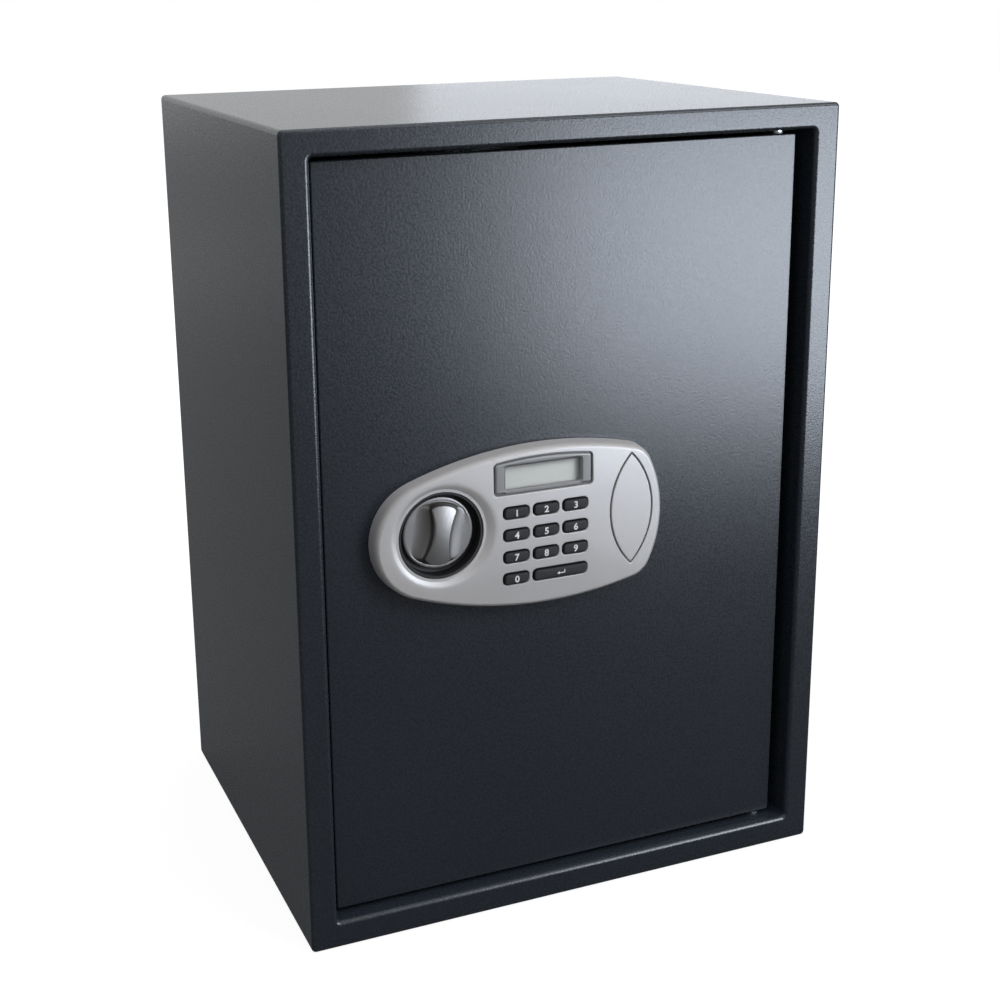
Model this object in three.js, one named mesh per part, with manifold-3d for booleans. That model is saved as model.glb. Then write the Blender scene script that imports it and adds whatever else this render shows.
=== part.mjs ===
import * as THREE from 'three';
import { mergeVertices } from 'three/addons/utils/BufferGeometryUtils.js';
import Module from 'manifold-3d';

// Electronic safe: a folded steel cabinet, a boxed door on two concealed pins, a bolt work turned
// by a knob, and an oval control panel with display, keys and a cover over the emergency lock.
// Sizes are in millimetres. X runs to the right as the door is faced, Y to the back, Z up, and
// the origin is under the middle of the cabinet, on the surface that it stands on.

// Gaps
const seatGap = 0.3;
const runningGap = 0.3;
const overCut = 1;

// Cabinet
const cabinetWidth = 356;
const cabinetDepth = 288;
const cabinetHeight = 500;
const cabinetSheet = 2;
const cabinetEdgeRadius = 3;
const frameSideWidth = 17;
const frameTopWidth = 15.5;
const frameBottomWidth = 17.5;
const frameEdgeRadius = 2.2;
const apertureCornerRadius = 2;
const jambDepth = 45;
const anchorHoleRadius = 5;
const anchorSpacing = 180;
const backAnchorHeight = 395;
const baseAnchorFromBack = 124;
const matThickness = 3;
const matMargin = 3;

// Shelf and its two rails
const shelfTop = 252;
const shelfSheet = 1.5;
const shelfSetback = 84;
const shelfEdgeHeight = 12;
const shelfMargin = 2;
const railSheet = 2;
const railLeg = 14;
const railDrop = 12;
const railFromShelfEnd = 4;

// Door
const doorRecess = 10;
const doorPlateThickness = 4;
const doorGap = 3;
const hingeSideGap = 7.5;
const doorCornerRadius = 1.5;
const doorEdgeRadius = 0.8;
const doorBoxDepth = 34;
const channelSheet = 1.5;
const channelFlange = 12;
const channelFromLockEdge = 6;
const channelFromHingeEdge = 17.5;
const channelFromTop = 10;
const innerCoverSheet = 1.5;
const innerCoverMargin = 1.5;

// Hinge pins, their brackets in the frame and the blocks on the door
const pivotBehindFace = 10;
const pivotFromDoorEdge = 7.5;
const pinRadius = 4;
const pinHeadRadius = 6;
const pinHeadHeight = 3;
const pinReach = 15;
const pinCollarRadius = 5.5;
const hingeBracketLength = 34;
const hingeBracketHeight = 4;
const pivotBlockWidth = 13;
const pivotBlockHeight = 18;

// Bolt work
const boltRadius = 9;
const boltSpacing = 160;
const boltThrow = 16;
const boltTipSetback = 2;
const boltTipChamfer = 2;
const boltLength = 23.7;
const boltStudRadius = 4;
const boltRivetRadius = 6.5;
const boltRivetHeight = 2;
const boltAxisBehindPlate = 18;
const boltHoleGap = 1;
const keeperSheet = 3;
const keeperOverrun = 32;
const carriageSheet = 2;
const carriageBehindPlate = 3;
const carriageBarWidth = 32;
const carriageOverrun = 15;
const carriageFlangeDepth = 26;
const carriageMiddleHeight = 52;
const carriageTailHeight = 17.7;
const carriageTailTop = 6.7;
const carriageTabDepth = 15;
const postRadius = 3;
const postCollarRadius = 5;
const postHeadRadius = 5.5;
const postHeadHeight = 2;
const postSpacing = 114;
const postFromBarEdge = 9;
const tailPostFromKnob = 51;
const guideSheet = 1.2;
const guideMargin = 7;

// Control panel, from its left end and from its centre line
const panelFromLockEdge = 27;
const panelCentreHeight = 259;
const panelLength = 190.5;
const panelHeight = 101.4;
const panelDrop = 3.3;
const panelCrown = 111.7;
const crownLeftRadius = 253;
const crownRightRadius = 249;
const rightEndRadius = 78;
const panelCornerRadius = 17.6;
const panelDepth = 13;
const panelDraft = 0.5;
const panelShoulderWidth = 3;
const panelShoulderDepth = 5;
const panelDome = 1.4;
const panelWall = 2.2;
const bossRadius = 3.5;
const bossBoreRadius = 1.7;
const bossFromEnds = [61.3, 152.8];
const bossSpread = 36;

// Knob and its well
const knobX = 42.3;
const knobTurn = 90;
const knobLean = 9;
const knobRadius = 22.5;
const knobFaceDepth = 8;
const knobThickness = 2.2;
const knobHubRadius = 7;
const gripCrestDepth = 0.6;
const gripLength = 37;
const gripEndWidth = 15;
const gripWaistWidth = 9.6;
const gripFlare = 2.6;
const wellRadius = 27;
const wellBevel = 7;
const wellBevelDepth = 3;
const wellWall = 1.4;
const wellCollar = 2;
const wellCollarDepth = 5;
const spindleRadius = 3.5;
const camPinRadius = 2;
const camThickness = 4;
const camHubRadius = 7.5;
const camPinWall = 2;
const camSlotPlay = 0.5;

// Display
const displayX = 108.3;
const displayUp = 29.8;
const displayWidth = 65.6;
const displayHeight = 20.2;
const displayArch = 2.4;
const displayCornerRadius = 2.6;
const displayRim = 1;
const displaySink = 1;
const windowWidth = 49.5;
const windowHeight = 14.3;
const windowCornerRadius = 1.2;
const windowMargin = 2.4;
const windowThickness = 1.2;

// Keys
const firstColumnX = 89.7;
const firstRowUp = 8.5;
const columnPitch = 19.6;
const rowPitch = 14;
const keyWidth = 15.8;
const keyHeight = 6.4;
const keyCornerRadius = 2.2;
const keyPlay = 0.8;
const keyBevel = 0.7;
const keyProud = 0.9;
const keyRounding = 0.9;
const keyFlange = 0.6;
const keyFlangeThickness = 1;
const keyTravel = 1.2;

// Emergency lock and its cover
const lockX = 167.8;
const coverHalfHeight = 36.4;
const coverHalfWidth = 15;
const coverGap = 0.4;
const coverSeatDepth = 3.8;
const coverProud = 0.15;
const pocketWall = 1.6;
const lockRadius = 9.5;
const lockBehindPlate = 21;
const lockNutRadius = 13.5;
const lockNutThickness = 4;
const cylinderRadius = 6;
const keywayWidth = 1.8;
const keywayHeight = 7;
const keywayDepth = 12;
const lockCamLength = 20;
const lockCamEndRadius = 4;
const lockCamThickness = 2;
const lockTangSide = 5;

// Solenoid
const plungerX = 145.3;
const plungerRadius = 4;
const plungerBehindPlate = 12;
const plungerLength = 44;
const plungerCollarRadius = 7;
const plungerCollarUp = 4;
const plungerCollarHeight = 2;
const plungerFlagWidth = 8;
const plungerFlagThickness = 2;
const solenoidFrameUp = 29;
const solenoidFrameHeight = 36;
const solenoidFrameWidth = 24;
const solenoidFrameDepth = 23.4;
const solenoidSheet = 2;
const coilRadius = 10;
const springWireRadius = 0.5;
const springTurns = 7;

// Electronics inside the panel and batteries inside the door
const boardThickness = 1.6;
const boardLeft = 74.3;
const boardWidth = 70;
const boardHeight = 80;
const matSheetThickness = 1.2;
const lcdThickness = 2.6;
const leadHoleX = 108.3;
const leadHoleDown = 24;
const leadHoleRadius = 5;
const leadRadius = 1.5;
const leadBend = 14;
const trayFromChannelEdge = 14.6;
const trayBelowCentre = 26;
const cellRadius = 7.25;
const cellLength = 50.5;
const cellNubRadius = 2.75;
const cellNubLength = 1;
const cellCount = 4;
const cellPitch = 15.6;
const trayWall = 1.5;
const trayDepth = 17;
const batteryCoverThickness = 2;
const batteryCoverMargin = 4;
const batteryCoverRim = 1.4;
const batteryPlugDepth = 1.5;

// Reset button inside the door, and the small screws
const resetFromChannelEdge = 36;
const resetHeight = 340;
const resetRadius = 3;
const resetProud = 2.5;
const resetBodySide = 12;
const resetBodyDepth = 8;
const resetBore = 4;
const screwHeadRadius = 3.4;
const screwHeadHeight = 1.8;
const screwRadius = 1.5;
const coverScrewLength = 5;
const panelScrewLength = 11;
const coverScrewRows = 3;

// Places that follow from the sizes
const frontFace = -cabinetDepth / 2;
const backFace = cabinetDepth / 2;
const doorFace = frontFace + doorRecess;
const plateBack = doorFace + doorPlateThickness;
const aperture = {
  left: -cabinetWidth / 2 + frameSideWidth,
  right: cabinetWidth / 2 - frameSideWidth,
  low: frameBottomWidth,
  high: cabinetHeight - frameTopWidth,
  radius: apertureCornerRadius,
};
const door = {
  left: aperture.left + doorGap,
  right: aperture.right - hingeSideGap,
  low: aperture.low + doorGap,
  high: aperture.high - doorGap,
  radius: doorCornerRadius,
};
const channel = {
  left: door.left + channelFromLockEdge,
  right: door.right - channelFromHingeEdge,
  low: door.low + channelFromTop,
  high: door.high - channelFromTop,
};
const panelLeft = door.left + panelFromLockEdge;
const channelFront = plateBack + seatGap;
const channelRear = plateBack + doorBoxDepth;
const coverFront = channelRear + seatGap;
const coverRear = coverFront + innerCoverSheet;
const pivotX = door.right - pivotFromDoorEdge;
const pivotY = doorFace + pivotBehindFace;
const resetX = channel.right - resetFromChannelEdge;
const boltY = plateBack + boltAxisBehindPlate;
const boltHeights = [-1, 1].map((side) => panelCentreHeight + (side * boltSpacing) / 2);
const boltTip = door.left + boltTipSetback;
const boltHoleRadius = boltRadius + boltHoleGap;
const jambRear = frontFace + jambDepth;

// Shapes: every helper returns a closed solid, and the front plane is X and Z.

// A closed three.js geometry as a solid that can be joined and cut, with its faces outwards.
const wasm = await Module();
wasm.setup();

function solidFrom(geometry) {
  const bare = geometry.clone();
  bare.deleteAttribute('normal');
  bare.deleteAttribute('uv');
  const merged = mergeVertices(bare);
  const corners = merged.index.array;
  const points = merged.attributes.position;
  const kept = [];
  let volume = 0;
  const [a, b, c] = [new THREE.Vector3(), new THREE.Vector3(), new THREE.Vector3()];
  for (let i = 0; i < corners.length; i += 3) {
    const [p, q, r] = corners.subarray(i, i + 3);
    if (p === q || q === r || r === p) continue;
    kept.push(p, q, r);
    volume += a.fromBufferAttribute(points, p).dot(
      b.fromBufferAttribute(points, q).cross(c.fromBufferAttribute(points, r)));
  }
  if (volume < 0) kept.reverse();
  return new wasm.Manifold(new wasm.Mesh({
    numProp: 3,
    vertProperties: new Float32Array(points.array),
    triVerts: new Uint32Array(kept),
  }));
}

function join(first, ...others) {
  return others.reduce((whole, next) => whole.add(next), first);
}

function cut(whole, ...tools) {
  return tools.reduce((rest, tool) => rest.subtract(tool), whole);
}

function block([left, right], [front, back], [low, high]) {
  const box = new THREE.BoxGeometry(right - left, back - front, high - low);
  return solidFrom(box.translate((left + right) / 2, (front + back) / 2, (low + high) / 2));
}

// A round bar along one axis, between two places on it, around a point of the other two axes.
function rod(axis, [from, to], [u, v], radius, sides = 20) {
  const bar = new THREE.CylinderGeometry(radius, radius, to - from, sides);
  const middle = (from + to) / 2;
  if (axis === 'x') bar.rotateZ(-Math.PI / 2).translate(middle, u, v);
  if (axis === 'y') bar.translate(u, middle, v);
  if (axis === 'z') bar.rotateX(Math.PI / 2).translate(u, v, middle);
  return solidFrom(bar);
}

// A turned piece: points of radius and place along Y, closed on the axis or on themselves.
function turned(profile, sides = 20) {
  const points = profile.map(([radius, y]) => new THREE.Vector2(radius, y));
  if (profile[0][0] > 0) points.push(points[0].clone());
  return solidFrom(new THREE.LatheGeometry(points, sides));
}

function placed(solid, x, y, z) {
  return solid.translate([x, y, z]);
}

function ordered(p, q) {
  return [Math.min(p, q), Math.max(p, q)];
}

// A skin over rings that have the same number of points, closed by a fan at each end. The fan's
// middle can stand off by a crown, so that a face is slightly domed.
function loft(rings, crown = 0) {
  const count = rings[0].length;
  const middle = (ring) => ring.reduce((sum, p) => sum.add(p), new THREE.Vector3()).divideScalar(count);
  const first = middle(rings[0]);
  const last = middle(rings.at(-1));
  last.y -= crown;
  const points = [...rings.flat(), first, last];
  const faces = [];
  const firstIndex = rings.length * count;
  for (let j = 0; j < count; j += 1) {
    const k = (j + 1) % count;
    faces.push(firstIndex, k, j);
    for (let i = 0; i + 1 < rings.length; i += 1) {
      const [near, far] = [i * count, (i + 1) * count];
      faces.push(near + j, near + k, far + k, near + j, far + k, far + j);
    }
    const end = (rings.length - 1) * count;
    faces.push(end + j, end + k, firstIndex + 1);
  }
  const skin = new THREE.BufferGeometry().setFromPoints(points);
  skin.setIndex(faces);
  return solidFrom(skin);
}

// One ring of a rounded rectangle on the front plane, moved inwards by inset, at depth y.
function rectangleRing(rect, inset, y, steps = 3) {
  const radius = Math.max(rect.radius - inset, 0.02);
  const reach = inset + radius;
  const corners = [
    [rect.right - reach, rect.high - reach],
    [rect.left + reach, rect.high - reach],
    [rect.left + reach, rect.low + reach],
    [rect.right - reach, rect.low + reach],
  ];
  return corners.flatMap(([x, z], quarter) => Array.from({ length: steps + 1 }, (_, k) => {
    const angle = (quarter + k / steps) * Math.PI / 2;
    return new THREE.Vector3(x + radius * Math.cos(angle), y, z + radius * Math.sin(angle));
  }));
}

function centredRect(x, z, width, height, radius) {
  return { left: x - width / 2, right: x + width / 2, low: z - height / 2, high: z + height / 2, radius };
}

// A flat plate of a rounded rectangle between two depths.
function platePiece(rect, front, back, steps) {
  return loft([rectangleRing(rect, 0, back, steps), rectangleRing(rect, 0, front, steps)]);
}

// Insets and depths along a quarter round edge, from its side to its face.
function quarterRound(radius, steps) {
  return Array.from({ length: steps + 1 }, (_, k) => {
    const angle = (k / steps) * Math.PI / 2;
    return { inset: radius * (1 - Math.cos(angle)), rise: radius * Math.sin(angle) };
  });
}

// A tube of few sides carried along a curve.
function tube(path, radius, steps, sides) {
  const section = new THREE.Shape(Array.from({ length: sides }, (_, k) => {
    const angle = (k / sides) * 2 * Math.PI;
    return new THREE.Vector2(radius * Math.cos(angle), radius * Math.sin(angle));
  }));
  return solidFrom(new THREE.ExtrudeGeometry(section, { steps, extrudePath: path }));
}

// An arm with two round ends, as a plate whose big end is at the origin and which points down.
function armPlate(bigRadius, smallRadius, length, front, back, steps = 8) {
  const lean = Math.asin((bigRadius - smallRadius) / length);
  const arc = (radius, down, from, to) => Array.from({ length: steps + 1 }, (_, k) => {
    const angle = from + (k / steps) * (to - from);
    return [radius * Math.cos(angle), -down + radius * Math.sin(angle)];
  });
  const outline = [
    ...arc(bigRadius, 0, -lean, Math.PI + lean),
    ...arc(smallRadius, length, Math.PI + lean, 2 * Math.PI - lean),
  ];
  return loft([back, front].map((y) => outline.map(([x, z]) => new THREE.Vector3(x, y, z))));
}

// Cabinet

// One folded sheet: top, sides, bottom, the face of the frame and the lips that run inwards.
function makeCabinetWrap() {
  const outer = { left: -cabinetWidth / 2, right: cabinetWidth / 2, low: 0, high: cabinetHeight };
  outer.radius = cabinetEdgeRadius;
  const rounding = quarterRound(frameEdgeRadius, 3);
  const skin = loft([
    rectangleRing(outer, 0, backFace),
    ...rounding.map(({ inset, rise }) => rectangleRing(outer, inset, frontFace + frameEdgeRadius - rise)),
  ]);
  const hollow = loft([
    rectangleRing(outer, cabinetSheet, backFace + overCut),
    rectangleRing(outer, cabinetSheet, frontFace + cabinetSheet),
  ]);
  const lips = loft([
    rectangleRing(aperture, -cabinetSheet, jambRear),
    rectangleRing(aperture, -cabinetSheet, frontFace + cabinetSheet / 2),
  ]);
  const opening = loft([
    rectangleRing(aperture, 0, jambRear + overCut),
    ...rounding.map(({ inset, rise }) => rectangleRing(aperture, -inset, frontFace + frameEdgeRadius - rise)),
    rectangleRing(aperture, -frameEdgeRadius, frontFace - overCut),
  ]);
  const lipHoles = boltHeights.map((height) => rod(
    'x', [aperture.left - cabinetSheet - overCut, aperture.left + overCut], [boltY, height], boltHoleRadius));
  const pinHoles = [
    [aperture.high - overCut, aperture.high + cabinetSheet + overCut],
    [aperture.low - cabinetSheet - overCut, aperture.low + overCut],
  ].map((span) => rod('z', span, [pivotX, pivotY], pinRadius + runningGap));
  const anchors = [-1, 1].map((side) => rod(
    'z', [-overCut, cabinetSheet + overCut], [side * anchorSpacing / 2, backFace - baseAnchorFromBack],
    anchorHoleRadius));
  return cut(join(cut(skin, hollow), lips), opening, ...lipHoles, ...pinHoles, ...anchors);
}

function makeBackPanel() {
  const reach = cabinetWidth / 2 - cabinetSheet - seatGap;
  const rect = { left: -reach, right: reach, low: cabinetSheet + seatGap };
  rect.high = cabinetHeight - cabinetSheet - seatGap;
  rect.radius = Math.max(cabinetEdgeRadius - cabinetSheet, seatGap);
  const anchors = [-1, 1].map((side) => rod(
    'y', [backFace - cabinetSheet - overCut, backFace + overCut],
    [side * anchorSpacing / 2, backAnchorHeight], anchorHoleRadius));
  return cut(platePiece(rect, backFace - cabinetSheet, backFace), ...anchors);
}

// A strip behind the lock side's lip, which takes the thrust of the bolts.
function makeBoltKeeper() {
  const right = aperture.left - cabinetSheet - seatGap;
  const [low, high] = [boltHeights[0] - keeperOverrun, boltHeights[1] + keeperOverrun];
  const strip = block([right - keeperSheet, right], [doorFace + seatGap, jambRear], [low, high]);
  const holes = boltHeights.map((height) => rod(
    'x', [right - keeperSheet - overCut, right + overCut], [boltY, height], boltHoleRadius));
  return cut(strip, ...holes);
}

// A bracket in the hollow of the frame, over or under the lip. side is 1 at the top, -1 below.
function makeHingeBracket(side) {
  const lip = side > 0 ? aperture.high + cabinetSheet : aperture.low - cabinetSheet;
  const near = lip + side * seatGap;
  const far = near + side * hingeBracketHeight;
  const span = ordered(near, far);
  const left = pivotX - hingeBracketLength / 2;
  const plate = block([left, left + hingeBracketLength],
    [frontFace + cabinetSheet + seatGap, jambRear - hingeBracketHeight], span);
  return cut(plate, rod('z', [span[0] - overCut, span[1] + overCut], [pivotX, pivotY], pinRadius + runningGap));
}

// A pin through bracket, lip and door block. The lower one has a collar that carries the door.
function makeHingePin(side) {
  const lip = side > 0 ? aperture.high : aperture.low;
  const head = lip + side * (cabinetSheet + hingeBracketHeight + 2 * seatGap);
  const tip = lip - side * (doorGap + pinReach);
  const top = head + side * pinHeadHeight;
  const collar = side > 0 ? [] : [[pinRadius, lip + seatGap], [pinCollarRadius, lip + seatGap],
    [pinCollarRadius, door.low + seatGap], [pinRadius, door.low + seatGap]];
  const pin = turned([[0, top], [pinHeadRadius, top], [pinHeadRadius, head], [pinRadius, head],
    ...collar, [pinRadius, tip], [0, tip]], 20);
  return placed(pin.rotate([90, 0, 0]), pivotX, pivotY, 0);
}

function makeFloorMat() {
  const reach = cabinetWidth / 2 - cabinetSheet - matMargin;
  const floor = cabinetSheet + seatGap;
  const sheet = block([-reach, reach], [jambRear + matMargin, backFace - cabinetSheet - matMargin],
    [floor, floor + matThickness]);
  const holes = [-1, 1].map((side) => rod(
    'z', [floor - overCut, floor + matThickness + overCut],
    [side * anchorSpacing / 2, backFace - baseAnchorFromBack], anchorHoleRadius));
  return cut(sheet, ...holes);
}

// Shelf: a tray turned upside down, with its front and rear edges folded down.
const shelfFront = frontFace + shelfSetback;
const shelfBack = backFace - cabinetSheet - shelfMargin;
const shelfReach = cabinetWidth / 2 - cabinetSheet - shelfMargin;

function makeShelf() {
  const top = block([-shelfReach, shelfReach], [shelfFront, shelfBack], [shelfTop - shelfSheet, shelfTop]);
  const folds = [[shelfFront, shelfFront + shelfSheet], [shelfBack - shelfSheet, shelfBack]].map((span) =>
    block([-shelfReach, shelfReach], span, [shelfTop - shelfEdgeHeight, shelfTop]));
  return join(top, ...folds);
}

// An angle along the cabinet's side that the shelf rests on. side is 1 on the right, -1 on the left.
function makeShelfRail(side) {
  const wall = side * (cabinetWidth / 2 - cabinetSheet - seatGap);
  const top = shelfTop - shelfSheet - seatGap;
  const span = [shelfFront + railFromShelfEnd, shelfBack - railFromShelfEnd];
  const leg = block(ordered(wall, wall - side * railLeg), span, [top - railSheet, top]);
  const drop = block(ordered(wall, wall - side * railSheet), span, [top - railDrop, top]);
  return join(leg, drop);
}

// Door

// Places of the panel's parts are given from its left end and from its centre line.
const atPanel = (x, up) => [panelLeft + x, panelCentreHeight + up];
const panelScrewPlaces = [[bossFromEnds[0], bossSpread], [bossFromEnds[0], -bossSpread],
  [bossFromEnds[1], -bossSpread]];

function makeDoorPlate() {
  const rounding = quarterRound(doorEdgeRadius, 2);
  const plate = loft([
    rectangleRing(door, 0, plateBack),
    ...rounding.map(({ inset, rise }) => rectangleRing(door, inset, doorFace + doorEdgeRadius - rise)),
  ]);
  const through = [doorFace - overCut, plateBack + overCut];
  return cut(
    plate,
    rod('y', through, atPanel(knobX, 0), spindleRadius + runningGap),
    rod('y', through, atPanel(lockX, 0), lockRadius + seatGap, 32),
    rod('y', through, atPanel(leadHoleX, -leadHoleDown), leadHoleRadius, 16),
    ...panelScrewPlaces.map(([x, up]) => rod('y', through, atPanel(x, up), screwRadius + 2 * runningGap, 12)),
  );
}

// The folded frame behind the plate, whose flange carries the inner cover.
function makeDoorChannel() {
  const rim = { ...channel, radius: channelSheet };
  const wall = platePiece(rim, channelFront, channelRear, 2);
  const inside = loft([
    rectangleRing(rim, channelSheet, channelRear - channelSheet, 2),
    rectangleRing(rim, channelSheet, channelFront - overCut, 2),
  ]);
  const window = loft([
    rectangleRing(rim, channelFlange, channelRear + overCut, 2),
    rectangleRing(rim, channelFlange, channelFront - overCut, 2),
  ]);
  const boltHoles = boltHeights.map((height) => rod(
    'x', [channel.left - overCut, channel.left + channelSheet + overCut], [boltY, height],
    boltRadius + runningGap));
  const screwHoles = coverScrewPlaces().map(([x, z]) => rod(
    'y', [channelRear - channelSheet - overCut, channelRear + overCut], [x, z], screwRadius + runningGap, 12));
  return cut(wall, inside, window, ...boltHoles, ...screwHoles);
}

function coverScrewPlaces() {
  const inset = channelFlange / 2;
  const columns = [channel.left + inset, channel.right - inset];
  const [low, high] = [channel.low + inset + channelFlange, channel.high - inset - channelFlange];
  return columns.flatMap((x) => Array.from({ length: coverScrewRows }, (_, k) =>
    [x, low + (k / (coverScrewRows - 1)) * (high - low)]));
}

const trayWidth = cellCount * cellPitch + 2 * trayWall;
const trayHeight = cellLength + cellNubLength + 2 * (trayWall + seatGap);
const trayLeft = channel.right - trayFromChannelEdge - trayWidth;
const trayLow = panelCentreHeight - trayBelowCentre - trayHeight;
const batteryOpening = {
  left: trayLeft + trayWall,
  right: trayLeft + trayWidth - trayWall,
  low: trayLow + trayWall,
  high: trayLow + trayHeight - trayWall,
  radius: trayWall,
};

// The sheet that closes the door's back, with its six screws.
function makeInnerCover() {
  const rect = {
    left: channel.left + innerCoverMargin,
    right: channel.right - innerCoverMargin,
    low: channel.low + innerCoverMargin,
    high: channel.high - innerCoverMargin,
    radius: channelSheet,
  };
  const through = [coverFront - overCut, coverRear + overCut];
  const sheet = cut(
    platePiece(rect, coverFront, coverRear, 2),
    platePiece(batteryOpening, ...through, 2),
    rod('y', through, [resetX, resetHeight], resetRadius + 2 * runningGap, 16),
  );
  return join(sheet, ...coverScrewPlaces().map(([x, z]) => placed(makeScrew(coverScrewLength), x, coverRear, z)));
}

// A pan head screw whose shank runs towards the front from the origin.
function makeScrew(length) {
  return turned([[0, -length], [screwRadius, -length], [screwRadius, 0], [screwHeadRadius, 0],
    [screwHeadRadius, screwHeadHeight / 2], [screwHeadRadius * 0.6, screwHeadHeight], [0, screwHeadHeight]], 10);
}

// A block behind the door's hinge edge, bored for the pin. side is 1 at the top, -1 below.
function makePivotBlock(side) {
  const edge = side > 0 ? door.high - seatGap : door.low + 2 * seatGap;
  const inner = edge - side * pivotBlockHeight;
  const span = ordered(edge, inner);
  const body = block([pivotX - pivotBlockWidth / 2, pivotX + pivotBlockWidth / 2],
    [plateBack + seatGap, pivotY + pivotBlockWidth / 2], span);
  return cut(body, rod('z', [span[0] - overCut, span[1] + overCut], [pivotX, pivotY], pinRadius + runningGap));
}

// Bolt work, behind the door's plate. The bolts are drawn back, and the throw is to the left.
const carriageFront = plateBack + carriageBehindPlate;
const carriageBack = carriageFront + carriageSheet;
const flangeLeft = boltTip + boltLength + seatGap;
const barRight = flangeLeft + carriageBarWidth;
const camReach = boltThrow / (2 * Math.sin(THREE.MathUtils.degToRad(knobTurn) / 2));
const postX = flangeLeft + postFromBarEdge;
const [knobAxisX, knobAxisZ] = atPanel(knobX, 0);

// A level slot for a post or the spindle, as long as the throw.
function throwSlot(x, z, radius) {
  const slot = centredRect(x + boltThrow / 2, z, 2 * radius + boltThrow, 2 * radius, radius);
  return platePiece(slot, carriageFront - overCut, carriageBack + overCut);
}

function postPlaces() {
  return [
    [postX, panelCentreHeight - postSpacing / 2],
    [postX, panelCentreHeight + postSpacing / 2],
    [knobAxisX + tailPostFromKnob, panelCentreHeight + carriageTailTop - carriageTailHeight / 2],
  ];
}

function makeBoltCarriage() {
  const sheet = [carriageFront, carriageBack];
  const [low, high] = [boltHeights[0] - carriageOverrun, boltHeights[1] + carriageOverrun];
  const bar = block([flangeLeft, barRight], sheet, [low, high]);
  const flange = block([flangeLeft, flangeLeft + carriageSheet],
    [carriageFront, carriageFront + carriageFlangeDepth], [low, high]);
  const middleHigh = knobAxisZ + carriageMiddleHeight / 2;
  const middle = block([barRight - overCut, knobAxisX + carriageBarWidth],
    sheet, [middleHigh - carriageMiddleHeight, middleHigh]);
  const tailTop = panelCentreHeight + carriageTailTop;
  const tailEnd = panelLeft + plungerX;
  const tailSpan = [tailTop - carriageTailHeight, tailTop];
  const tail = block([knobAxisX, tailEnd], sheet, tailSpan);
  const tab = block([tailEnd - carriageSheet, tailEnd], [carriageFront, carriageFront + carriageTabDepth], tailSpan);
  const pinHalf = camPinRadius + camSlotPlay;
  const camRest = camReach * Math.sin(THREE.MathUtils.degToRad(knobTurn) / 2);
  const slotHigh = camReach + pinHalf;
  const slotLow = camReach * Math.cos(THREE.MathUtils.degToRad(knobTurn) / 2) - pinHalf;
  const camSlot = { left: knobAxisX + camRest - pinHalf, right: knobAxisX + camRest + pinHalf };
  camSlot.low = knobAxisZ + slotLow;
  camSlot.high = knobAxisZ + slotHigh;
  camSlot.radius = pinHalf;
  const studHoles = boltHeights.map((height) => rod(
    'x', [flangeLeft - overCut, flangeLeft + carriageSheet + overCut], [boltY, height],
    boltStudRadius + runningGap, 16));
  return cut(
    join(bar, flange, middle, tail, tab),
    platePiece(camSlot, carriageFront - overCut, carriageBack + overCut),
    throwSlot(knobAxisX, knobAxisZ, spindleRadius + runningGap),
    ...postPlaces().map(([x, z]) => throwSlot(x, z, postRadius + runningGap)),
    ...studHoles,
  );
}

// A bolt with a chamfered tip, and a riveted stud through the carriage's flange.
function makeBolt(height) {
  const collar = boltLength;
  const rivet = boltLength + seatGap + carriageSheet + seatGap;
  const profile = [[0, 0], [boltRadius - boltTipChamfer, 0], [boltRadius, boltTipChamfer], [boltRadius, collar],
    [boltStudRadius, collar], [boltStudRadius, rivet], [boltRivetRadius, rivet],
    [boltRivetRadius, rivet + boltRivetHeight], [0, rivet + boltRivetHeight]];
  return placed(turned(profile, 20).rotate([0, 0, -90]), boltTip, boltY, height);
}

// A plate on the back of the door with three headed posts, which the carriage slides along.
function makeCarriageGuide() {
  const sheet = [plateBack + seatGap, plateBack + seatGap + guideSheet];
  const [lowPost, highPost, tailPost] = postPlaces();
  const strip = block([postX - guideMargin, postX + guideMargin], sheet,
    [lowPost[1] - guideMargin, highPost[1] + guideMargin]);
  const arm = block([postX, tailPost[0] + guideMargin], sheet,
    [tailPost[1] - guideMargin, tailPost[1] + guideMargin]);
  const head = carriageBehindPlate + carriageSheet + seatGap;
  const post = turned([[0, seatGap], [postCollarRadius, seatGap],
    [postCollarRadius, carriageBehindPlate - seatGap], [postRadius, carriageBehindPlate - seatGap],
    [postRadius, head], [postHeadRadius, head], [postHeadRadius, head + postHeadHeight],
    [0, head + postHeadHeight]], 10);
  const posts = postPlaces().map(([x, z]) => placed(post, x, plateBack, z));
  const hole = rod('y', [plateBack, sheet[1] + overCut], [knobAxisX, knobAxisZ], spindleRadius + runningGap);
  return cut(join(strip, arm, ...posts), hole);
}

// Control panel: everything below is placed from the door's face, the panel's left end and its
// centre line, with the front towards -Y.

// The right-hand one of the two points where two circles meet.
function circleMeeting(a, radiusA, b, radiusB) {
  const along = b.clone().sub(a);
  const distance = along.length();
  const step = (radiusA ** 2 - radiusB ** 2 + distance ** 2) / (2 * distance);
  const side = Math.sqrt(Math.max(radiusA ** 2 - step ** 2, 0));
  along.divideScalar(distance);
  const across = new THREE.Vector2(-along.y, along.x).multiplyScalar(along.y > 0 ? -side : side);
  return a.clone().addScaledVector(along, step).add(across);
}

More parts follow.
